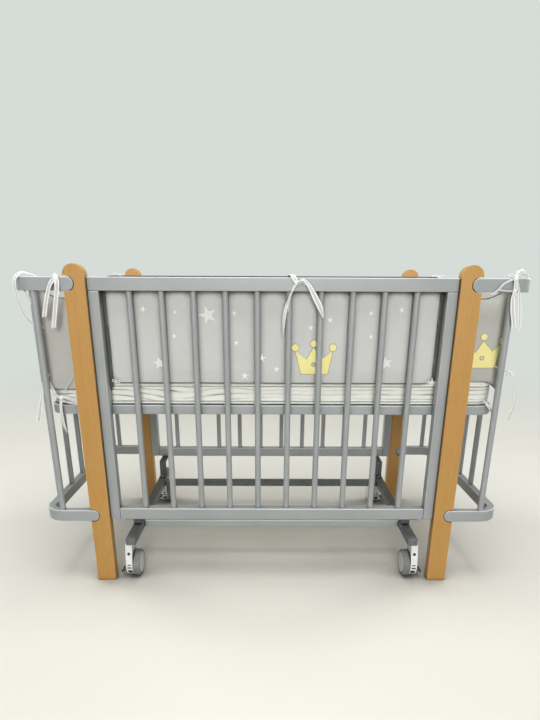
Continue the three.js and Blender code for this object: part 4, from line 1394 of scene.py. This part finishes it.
# %% Ribbon helper
ribbon_wide = 10.5
folded_profile = [
    (-1, 0.45), (-0.86, 0.85), (-0.5, 0.85), (-0.34, 0.25), (0.34, 0.25), (0.5, 0.85), (0.86, 0.85), (1, 0.45),
]
folded_profile += [(across, -0.3) for across, up in reversed(folded_profile)]
# The faces of the flat band go in a mask, for painted shade.
fold_band = (2, 3, 4)


def smooth_line(points, steps=8, closed=False):
    """Points along a smooth curve that passes through the given points."""
    count = len(points)
    line = []
    for k in range(count if closed else count - 1):
        p0 = points[(k - 1) % count] if closed or k else points[0] * 2 - points[1]
        p1 = points[k]
        p2 = points[(k + 1) % count]
        p3 = points[(k + 2) % count] if closed or k + 2 < count else p2 * 2 - p1
        for n in range(steps):
            t = n / steps
            line.append(0.5 * (2 * p1 + (p2 - p0) * t + (2 * p0 - 5 * p1 + 4 * p2 - p3) * t * t
                               + (3 * p1 - p0 - 3 * p2 + p3) * t ** 3))
    if not closed:
        line.append(points[-1].copy())
    return line


def ribbon(points, looks=None, widths=ribbon_wide, closed=False, slant=2.5, steps=8):
    """A strip through points in mm. looks are the ways that its face turns, and widths its width, at each."""
    looks = looks or [(0, -1, 0)] * len(points)
    widths = widths if isinstance(widths, (list, tuple)) else [widths] * len(points)
    line = smooth_line([Vector(p) for p in points], steps, closed)
    views = smooth_line([Vector(v) for v in looks], steps, closed)
    wide = smooth_line([Vector((w, 0, 0)) for w in widths], steps, closed)
    rings = []
    for k, point in enumerate(line):
        along = way_along(line, k, closed)
        face = (views[k] - along * views[k].dot(along)).normalized()
        across = along.cross(face)
        cut = slant if k == len(line) - 1 and not closed else 0
        rings.append([
            (point + across * (u * wide[k].x / 2) + face * thick + along * (cut * u)) * MM
            for u, thick in folded_profile
        ])
    return skin("ribbon", rings, closed=closed, rims=fold_band)


print("ribbon section has", len(folded_profile), "points")

# %% [markdown]
# Ribbons were placed on the front of the crib, where each point is seen at a plane. A point that really
# lies deeper is moved along the line of sight, so it still shows in the same spot. Knots, bow loops and a cuff
# round a rail make up the rest of a tie.


# %% Places and knots
def in_line(x, z, depth, plane=-312):
    """The place at a depth that the camera sees exactly behind or before (x, z) on a plane. All in mm."""
    eye = camera_place / MM
    share = (depth - eye.y) / (plane - eye.y)
    return (eye.x + (x - eye.x) * share, depth, eye.z + (z - eye.z) * share)


def seen(route, plane=-312):
    return [in_line(x, z, depth, plane) for x, z, depth in route]


def knot(x, y, z, wide=12, tall=11, deep=5):
    """A small knot: a rounded lump, pinched at its waist."""
    rings = []
    for k in range(1, 10):
        polar = math.pi * k / 10
        ring = []
        for a in full_circle(18):
            pinch = 1 - 0.25 * math.exp(-(math.cos(a) / 0.35) ** 2)
            ring.append(mm(
                x + wide / 2 * math.sin(polar) * math.cos(a),
                y + deep / 2 * math.sin(polar) * math.sin(a) * (1 + 0.2 * math.cos(3 * a)),
                z + tall / 2 * math.cos(polar) * pinch))
        rings.append(ring)
    return skin("knot", rings)


def bow_loop(centre, axis, wide, tall, width=7):
    """A closed loop of ribbon that stands about an axis, wide and tall across it."""
    axis = Vector(axis).normalized()
    level = axis.cross(Vector((0, 0, 1))).normalized()
    rise = level.cross(axis)
    points, looks = [], []
    for a in full_circle(10):
        points.append(Vector(centre) + level * (wide / 2 * math.cos(a)) + rise * (tall / 2 * math.sin(a)))
        looks.append(level * math.cos(a) + rise * math.sin(a))
    return ribbon(points, looks, widths=width, closed=True, steps=4)


def cuff(x, front, back, low, high, width=ribbon_wide):
    """A strip once round a rail that runs along X."""
    r = 1.5
    points = [
        (x, front, low + r), (x, front, high - r), (x, front + r, high), (x, back - r, high),
        (x, back, high - r), (x, back, low + r), (x, back - r, low), (x, front + r, low),
    ]
    looks = [(0, -1, 0), (0, -1, 0.3), (0, -0.3, 1), (0, 0.3, 1),
             (0, 1, 0.3), (0, 1, -0.3), (0, 0.3, -1), (0, -0.3, -1)]
    return ribbon(points, looks, widths=width, closed=True, steps=4)


def tie(name, strips, node=None):
    """Joins the strips and knots of one tie into one piece."""
    build = bmesh.new()
    for mesh in strips:
        build.from_mesh(mesh)
    mesh = bpy.data.meshes.new(name)
    build.to_mesh(mesh)
    build.free()
    return put(name, mesh, ribbon_cotton, stands_for=[node] if node else (), sharp=50)


print("ribbon helpers ready")

# %% [markdown]
# Each tie starts at its pad, goes over its rail or round its spindle, and ends in loose tails. A route is a
# list of given places: where each point is seen on the front of the crib, and how deep it really lies.

# %% Ties at the top left
stub_front = -310.4
stub_back = -289.6
tie_top = 850.6
tie_low = 816.4
low_tie_depth = -277

tie("ribbon_front_left", [
    cuff(-530, stub_front, stub_back, tie_low, tie_top),
    knot(-530, stub_front - 2.2, 848, 14, 20, 6),
    ribbon(seen([(-531, 847, -313), (-546, 831, -315), (-559, 796, -314), (-570, 755, -312)]),
           [(-0.1, -1, 0.3), (-0.3, -1, 0.1), (-0.1, -1, 0), (0.1, -1, 0)]),
    ribbon(seen([(-529, 846, -313.5), (-528, 834, -315.5), (-532, 812, -315.5), (-541, 771, -314),
                 (-550, 728, -312)]),
           [(0.2, -1, 0.3), (0.4, -1, 0.1), (0.2, -1, 0), (0, -1, 0), (-0.1, -1, 0)], widths=11),
], "tie_front_left")
tie("ribbon_left_corner", [
    ribbon([(-590, -258, 838), (-596, -268, 851)]
           + seen([(-604, 859, -288), (-615, 858, -299), (-623, 852, -306), (-632, 837, -313),
                   (-630, 807, -311), (-623, 773, -306), (-616, 756, -301), (-602, 739, -292)])
           + [(-588, -278, 727)],
           [(0.3, -0.6, 0.6), (0, -0.4, 1), (0.1, -0.6, 0.9), (0.2, -0.8, 0.7), (0.2, -1, 0.4), (0.2, -1, 0.1),
            (0.1, -1, 0), (0, -1, 0), (0.1, -1, 0), (0.2, -1, 0), (0.2, -1, 0)],
           widths=[7, 8, 8, 8, 7.5, 7, 6.5, 6.5, 7.5, 7, 7]),
    ribbon(seen([(-613, 830, -292), (-610, 819, -292), (-604, 805, -291), (-597, 788, -289)]), widths=5),
], "tie_left_corner")
print("two ties at the left corner")

# %% Tie in the middle of the front
tie("ribbon_front_centre", [
    ribbon([(38, -258, 850), (42, -266, 856), (46, -280, 855.5), (49, -294, 853.5), (52, -299.2, 847),
            (57, -299.6, 839)],
           [(0, -0.3, 1), (0, -0.2, 1), (0, -0.3, 1), (0, -0.7, 0.8), (0, -1, 0.3), (0, -1, 0)], widths=11),
    knot(57, -300.5, 838, 10, 11, 5),
    ribbon(seen([(57, 838, -301), (42, 807, -303), (31, 773, -303), (27, 744, -302), (26, 712, -300)], -300),
           [(-0.2, -1, 0), (-0.3, -1, 0), (-0.5, -1, 0), (-0.3, -1, 0), (0, -1, 0)],
           widths=[6, 4.5, 8.5, 7, 2], slant=0),
    ribbon(seen([(51, 832, -300.5), (44, 812, -301.5), (40, 792, -301.5), (38, 770, -300.5)], -300), widths=3),
    ribbon(seen([(57, 838, -301), (66, 842, -303), (75, 844, -304), (88, 831, -304.5), (104, 804, -304),
                 (118, 777, -302), (126, 754, -300)], -300),
           [(0, -1, 0.4), (0, -1, 0.5), (0.1, -1, 0.6), (0.3, -1, 0.3), (0.2, -1, 0.1), (0.1, -1, 0),
            (0, -1, 0)],
           widths=[4, 6, 7, 10, 14, 13, 3], slant=0),
    ribbon(seen([(62, 833, -300.5), (72, 838, -301), (80, 832, -301)], -300), widths=3),
], "tie_front_centre")
print("one tie in the middle of the front rail")

# %% Tie at the top right
tie("ribbon_right_corner", [
    cuff(594, stub_front, stub_back, tie_low, tie_top, width=10),
    knot(592, stub_front - 2.5, 851, 12, 14, 6),
    knot(595, stub_front - 2.5, 822, 9, 8, 5),
    ribbon(seen([(591, 851, -313), (593, 862, -311), (599, 868, -308), (607, 868.5, -305), (615, 863, -303),
                 (621, 854, -302)]),
           [(-0.4, -0.8, 0.3), (-0.3, -0.8, 0.6), (0, -0.8, 0.8), (0.3, -0.8, 0.7), (0.5, -0.8, 0.5),
            (0.5, -0.8, 0.2)],
           widths=[5, 5.5, 6, 6.5, 6.5, 6]),
    ribbon(seen([(597, 853, -312), (603, 858, -309), (609, 860, -306), (615, 857.5, -304), (620, 852, -303)]),
           [(0, -0.8, -0.6)] * 5, widths=[3, 3.5, 3.5, 3.5, 3]),
    bow_loop((583, -306, 856), (-0.2, -0.8, 0.4), 14, 7, width=4),
    ribbon(seen([(592, 851, -314), (594, 836, -314.5), (595, 822, -314)]), widths=9),
    ribbon(seen([(594, 822, -314), (592, 804, -316), (595, 777, -316.5), (602, 748, -316), (606, 734, -315.5),
                 (612, 727, -314.5), (617, 734, -313), (616, 752, -312.5), (611, 785, -312), (605, 815, -311.5),
                 (598, 838, -311)]),
           [(0, -1, 0)] * 11, widths=[7, 10, 11.5, 11, 9, 7, 8, 9, 8.5, 6, 5]),
    ribbon(seen([(590, 849, -314), (578, 845, -316), (564, 837, -316), (554, 825, -315), (541, 813, -313)]),
           [(0, -1, 0.3), (0, -1, 0.4), (-0.1, -1, 0.2), (0, -1, 0), (0, -1, 0)], widths=[4, 4.5, 4.5, 4.5, 5]),
    ribbon(seen([(553, 823, -314), (571, 821, -314.5), (593, 820, -313)]), widths=4),
], "tie_right_corner")
print("one tie at the right corner, with a long loop")

# %% Ties round the end spindles
tie("ribbon_left_lower", [
    knot(*in_line(-553, 551, low_tie_depth), 11, 12, 6),
    ribbon(seen([(-524, 610, -272), (-541, 584, -275), (-560, 557, low_tie_depth)], -275), widths=3),
    ribbon(seen([(-586, 590, -288), (-579, 572, -286), (-574, 557, -283), (-558, 546, low_tie_depth)], -300),
           [(0.2, -1, 0.2)] * 4, widths=6),
    ribbon(seen([(-556, 552, low_tie_depth), (-537, 545, -277), (-518, 538, -275), (-500, 534, -273)], -300),
           widths=7),
    ribbon(seen([(-558, 541, low_tie_depth), (-538, 534, -276), (-519, 531, -275), (-500, 530, -273)], -300),
           widths=4),
    ribbon(seen([(-558, 546, -279), (-561, 522, -281), (-561, 500, -281), (-559, 474, -280),
                 (-552, 453, -278)], -304),
           [(0, -1, 0), (-0.2, -1, 0), (-0.2, -1, 0), (0, -1, 0), (0, -1, 0)], widths=[6, 7.5, 8, 7, 2.5]),
], "tie_left_lower")
tie("ribbon_left_outer", [
    ribbon([(-592, -272, 604), (-598, -284, 596)] + seen([(-601, 588, -291)], -300),
           [(-0.6, -0.6, 0.6), (-0.5, -0.8, 0.4), (-0.4, -1, 0)], widths=5),
    ribbon(seen([(-601, 590, -291), (-607, 560, -297), (-617, 521, -299), (-627, 484, -297)], -300),
           [(-0.4, -1, 0), (-0.3, -1, 0), (-0.2, -1, 0), (0, -1, 0)], widths=[5, 8, 12, 14]),
], "tie_left_outer")
tie("ribbon_right_lower", [
    ribbon([(588, -270, 630), (598, -286, 626)] + seen([(603, 622, -301)]),
           [(0.3, -0.8, 0.5), (0.2, -1, 0.3), (0, -1, 0.2)], widths=5),
    ribbon(seen([(602, 622, -301), (613, 622, -308), (625, 609, -310), (636, 570, -310), (636, 529, -309),
                 (627, 493, -305)]),
           [(0, -1, 0.5), (0.2, -1, 0.5), (0.5, -1, 0.2), (0.4, -1, 0), (0.3, -1, 0), (0.1, -1, 0)],
           widths=[5, 6, 7, 7.5, 8, 8]),
    bow_loop(in_line(610, 617, -304), (0.3, -0.9, 0.2), 12, 8, width=4),
    ribbon(seen([(566, 541, -283), (578, 527, -286), (589, 512, -287)], -290), widths=6),
], "tie_right_lower")
print("three ties round end spindles")

# %% [markdown]
# Small bows finish the lower corners of the front pad and the back stubs of the end rails. The photograph shows
# only those of the front pad; the back ones are where such a pad would be tied.

# %% Small bows
for name, x in (("left", -417), ("right", 418)):
    tie(f"ribbon_pad_corner_{name}", [
        knot(x, -272.5, 587, 5, 5, 4), bow_loop((x - 5, -273, 589), (0, -1, 0.2), 9, 6, width=3),
        bow_loop((x + 5, -273, 586), (0, -1, 0.2), 9, 5, width=3),
    ])
for name, x in (("left", -536), ("right", 594)):
    tie(f"ribbon_back_{name}", [
        cuff(x, -stub_back, -stub_front, tie_low, tie_top, width=9), knot(x, 300, 854, 11, 8, 10),
        bow_loop((x - 14, 298, 857), (0.2, -1, 0.3), 20, 9, width=6),
        bow_loop((x + 13, 300, 857), (-0.2, -1, 0.3), 18, 8, width=6),
    ])
print("four small bows")

# %% [markdown]
# The wheel frame hangs under the bottom rails on four cranked steel straps. A strap is a flat bar that is bent
# twice, so its line turns with a small radius, and a pan-head screw holds each foot.

# %% Steel straps
strap_thick = 3
strap_wide = 24
strap_top = 192.7
strap_foot = 134.3
strap_in = 291.5
strap_bend = 207.5
strap_end = 183.5
strap_corner = 5
screw_radius = 4.2
screw_height = 2.2


def strap_line(way):
    half = strap_thick / 2
    a = strap_top - half
    b = strap_foot + half
    v = strap_bend + half
    points = [(strap_in, a)]
    r = strap_corner
    for k in range(7):
        t = 0.5 * math.pi * k / 6
        points.append((v + r - r * math.sin(t), a - r + r * math.cos(t)))
    for k in range(7):
        t = 0.5 * math.pi * k / 6
        points.append((v - r + r * math.cos(t), b + r - r * math.sin(t)))
    points.append((strap_end, b))
    return [Vector((0, way * y, z)) for y, z in points]


def strap(name, x, way):
    line = strap_line(way)
    section, rims = eased_section(strap_wide, strap_thick, 0.6, steps=2)
    rings = []
    for k, point in enumerate(line):
        up = way_along(line, k, False).cross(Vector((1, 0, 0)))
        rings.append([(point + Vector((x + a, 0, 0)) + up * b) * MM for a, b in section])
    return skin(name, rings, rims=rims)


def screw_head(x, y, z, way_up=1):
    radius, height = screw_radius, screw_height
    profile = [
        (radius, 0), (radius, 0.4), (radius * 0.8, height * 0.8), (radius * 0.45, height),
        (radius * 0.42, height * 0.6),
    ]
    rings = [
        [mm(x + r * math.cos(a), y + r * math.sin(a), z + way_up * h) for a in full_circle(20)]
        for r, h in profile
    ]
    return skin("screw", rings)


bar_low, bar_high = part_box("wheel_frame_bar_left")
bar_x = (bar_low.x + bar_high.x) / 2 / MM
for side_name, x in (("left", bar_x), ("right", -bar_x)):
    for end_name, way in (("front", -1), ("back", 1)):
        node = f"wheel_frame_bracket_{end_name}_{side_name}"
        put(f"{node}_strap", strap(node, x, way), strap_steel, stands_for=[node], even_normals=True)
        foot = screw_head(x, way * (strap_end + 11), strap_foot + strap_thick)
        put(f"{node}_foot_screw", foot, screw_steel)
        under = screw_head(x, way * (strap_in - 8), strap_top - strap_thick, way_up=-1)
        put(f"{node}_rail_screw", under, screw_steel)
print("four straps at x =", round(bar_x, 1))

# %% [markdown]
# A castor has three moving pieces. The white housing swivels on its stem, the wheel rolls on the housing's
# axle, and the black pedal rocks beside it. The housing is a flat moulded plate with a neck and eased edges, so
# it is sawn from one outline as the legs are.

# %% Castor housing
stem_y = 278.0
trail = 8
wheel_low, wheel_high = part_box("castor_wheel_front_left")
wheel_radius = (wheel_high.z - wheel_low.z) / 2 / MM
axle_z = (wheel_high.z + wheel_low.z) / 2 / MM
disc_radius = 35
disc_start = math.radians(34)
disc_end = math.radians(-194)
neck_half = 15
neck_corner = 2.5
castor_top = 111.7
housing_far = 19.6
housing_near = 0.5


def housing_outline():
    corner = neck_corner
    outline = []
    for k in range(5):
        t = 0.5 * math.pi * k / 4
        outline.append((neck_half - corner + corner * math.sin(t), castor_top - corner + corner * math.cos(t)))
    start, end = disc_start, disc_end
    for k in range(41):
        a = start + (end - start) * k / 40
        outline.append((trail + disc_radius * math.cos(a), axle_z + disc_radius * math.sin(a)))
    for k in range(5):
        t = 0.5 * math.pi * k / 4
        outline.append((-neck_half + corner - corner * math.cos(t), castor_top - corner + corner * math.sin(t)))
    return outline


def housing_front(z):
    """Where the sloping front of the neck lies at a height."""
    foot_y = trail + disc_radius * math.cos(disc_end)
    foot_z = axle_z + disc_radius * math.sin(disc_end)
    share = (z - foot_z) / (castor_top - neck_corner - foot_z)
    return foot_y + (-neck_half - foot_y) * share


def housing_mesh(x, y, inward):
    """A plate with its outline in Y and Z and its thickness along X."""
    outline = housing_outline()
    near = [mm(x - inward * housing_far, y + b, z) for b, z in outline]
    far = [mm(x - inward * housing_near, y + b, z) for b, z in outline]
    return sawn_plate("housing", near, far, axis=0, edge=2, segments=4)


print("housing outline has", len(housing_outline()), "points")

# %% [markdown]
# The wheel and the boss of its axle are turned from a profile. The tread has two fine grooves, and the hub cap
# is stepped. The slots in the round front of the housing and the hole in its neck are thin dark sheets of
# painted shade, standing for the dark inside of each opening.

# %% Wheel, slots and hole
wheel_width = 19
wheel_inner = 0.9
wheel_sides = 56
hole_z = 80.5


def turned(origin, inward, profile, sides, materials=None):
    """A profile of (radius, distance inward) turned about the axle."""
    angles = full_circle(sides)
    rings = [
        [mm(origin[0] + inward * across, origin[1] + radius * math.cos(a), origin[2] + radius * math.sin(a))
         for a in angles]
        for radius, across in profile
    ]
    return skin("turned", rings, materials=materials)


def slot_on_rim(x, y, middle, wide, start, end):
    """A strip of painted shade for a slot in the round front of a housing, between two angles below level."""
    rings = []
    for k in range(7):
        a = math.radians(start + (end - start) * k / 6)
        ring = []
        for across, lift in ((-wide / 2, -0.8), (-wide / 2, 0.3), (wide / 2, 0.3), (wide / 2, -0.8)):
            r = disc_radius + lift
            ring.append(mm(x + middle + across, y + trail - r * math.cos(a), axle_z - r * math.sin(a)))
        rings.append(ring)
    return skin("slot", rings)


def hole_mesh(x, y, middle):
    """A disc of painted shade, with a raised lip, for the hole in the sloping front of a housing's neck."""
    rings = []
    for r, ahead in ((4.5, -1.2), (4.5, 0.2), (4.1, 0.35), (3.6, 0.1)):
        ring = []
        for a in full_circle(24):
            z = hole_z + r * math.sin(a)
            ring.append(mm(x + middle + r * math.cos(a), y + housing_front(z) - ahead, z))
        rings.append(ring)
    return skin("hole", rings)


def castor_wheel_profile():
    r, w, cap = wheel_radius, wheel_width, 31
    tread = [(4.4, 0.1), (r - 6, 0.1), (r - 4.2, 0.1), (r - 1.8, 0.9), (r - 0.4, 2.4), (r, 4.2)]
    for groove in (0.38, 0.6):
        middle = w * groove
        tread += [(r, middle - 0.5), (r - 0.7, middle - 0.2), (r - 0.7, middle + 0.2), (r, middle + 0.5)]
    tread += [(r, w - 4.2), (r - 0.4, w - 2.4), (r - 1.8, w - 0.9), (r - 4.2, w - 0.1), (cap + 1, w - 0.1)]
    hub = [(cap + 0.3, w - 1), (cap - 0.5, w - 1), (cap - 1.1, w + 0.2), (cap - 5, w + 0.9), (14, w + 1.3),
           (13.2, w + 0.6), (12.2, w + 0.6), (11.4, w + 1.3), (0.4, w + 1.4)]
    return tread + hub, [0] * len(tread) + [1] * len(hub)


print("wheel", round(2 * wheel_radius, 1), "mm across")

# %% [markdown]
# The brake pedal is one moulding: a barrel round its pivot, and a plate with two ridges for the foot. Its
# outline is run along the wheel's width and shrinks a little at both ends, which rounds them.

# %% Brake pedal
pedal_low, pedal_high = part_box("brake_pedal_front_left")
pivot_radius = 3.5
pivot_out = 23.8
pedal_z = (pedal_high.z + pedal_low.z) / 2 / MM
pedal_end = bar_x - pedal_low.x / MM
plate_z = pedal_z - 7


def pedal_mesh(x, y, inward):
    """A pedal drawn in X and Z and run along Y: a round barrel with a ridged plate."""
    turns = [math.radians(145 - 290 * k / 18) for k in range(19)]
    outline = [(-pivot_out + pivot_radius * math.cos(t), pedal_z + pivot_radius * math.sin(t)) for t in turns]
    outline += [(out - pedal_end, plate_z + up) for out, up in (
        (1.2, -2.6), (0, -1.2), (0, 2.6), (1.2, 4), (3, 3.8), (3.6, 3), (5, 3.6), (5.6, 4.6))]
    rings = []
    for along, ease in ((-19, 0.08), (-18, 0), (9.2, 0), (10, 0.08)):
        centre = (-(pivot_out + pedal_end) / 2, pedal_z)
        rings.append([
            mm(x + inward * (px + (centre[0] - px) * ease), y + trail + along, pz + (centre[1] - pz) * 2 * ease)
            for px, pz in outline
        ])
    return skin("pedal", rings)


print("pedal reaches", round(pedal_end, 1), "mm out")

# %% [markdown]
# All four castors are alike, and those on the right are mirrored. The housing, its collar and boss ride on the
# swivelling body, the wheel on the rolling one and the pedal on the rocking one.


# %% Four castors
def add_castor(end_name, end_way, side_name, inward):
    key = f"{end_name}_{side_name}"
    swivel, roller, rocker = f"castor_{key}", f"wheel_{key}", f"pedal_{key}"
    x, y = bar_x * inward, end_way * stem_y
    put(f"castor_{key}_housing", housing_mesh(x, y, inward), white_plastic, body=swivel,
        stands_for=[f"castor_housing_{key}"], even_normals=True)
    collar_rings = [
        [mm(x + r * math.cos(a), y + r * math.sin(a), z) for a in full_circle(32)]
        for r, z in ((10, 111.6), (10, 106.6), (9.2, 105.8), (5, 105.4))
    ]
    put(f"castor_{key}_collar", skin("collar", collar_rings), white_plastic, body=swivel)
    axle = (x, y + trail, axle_z)
    boss_profile = [(9, -19.4), (9, -20.6), (8.2, -21.4), (1, -21.6)]
    put(f"castor_{key}_boss", turned(axle, inward, boss_profile, 32), white_plastic, body=swivel)
    middle = -inward * (housing_far + housing_near) / 2
    put(f"castor_{key}_hole", hole_mesh(x, y, middle), pedal_plastic, body=swivel)
    for number, (wide, start, end) in enumerate(((9.5, -13.5, -8.5), (12.5, 0, 6), (12.5, 18, 38))):
        slot = slot_on_rim(x, y, middle + inward * (1 if number == 2 else 0), wide, start, end)
        put(f"castor_{key}_slot_{number + 1}", slot, pedal_plastic, body=swivel)
    profile, parts = castor_wheel_profile()
    wheel = turned((x + inward * wheel_inner, y + trail, axle_z), inward, profile, wheel_sides, materials=parts)
    put(f"castor_{key}_wheel", wheel, [tread_rubber, hub_plastic], body=roller,
        stands_for=[f"castor_wheel_{key}"], sharp=40)
    put(f"castor_{key}_pedal", pedal_mesh(x, y, inward), pedal_plastic, body=rocker,
        stands_for=[f"brake_pedal_{key}"], sharp=40)


for end_name, end_way in (("front", -1), ("back", 1)):
    for side_name, inward in (("left", 1), ("right", -1)):
        add_castor(end_name, end_way, side_name, inward)
print("four castors")
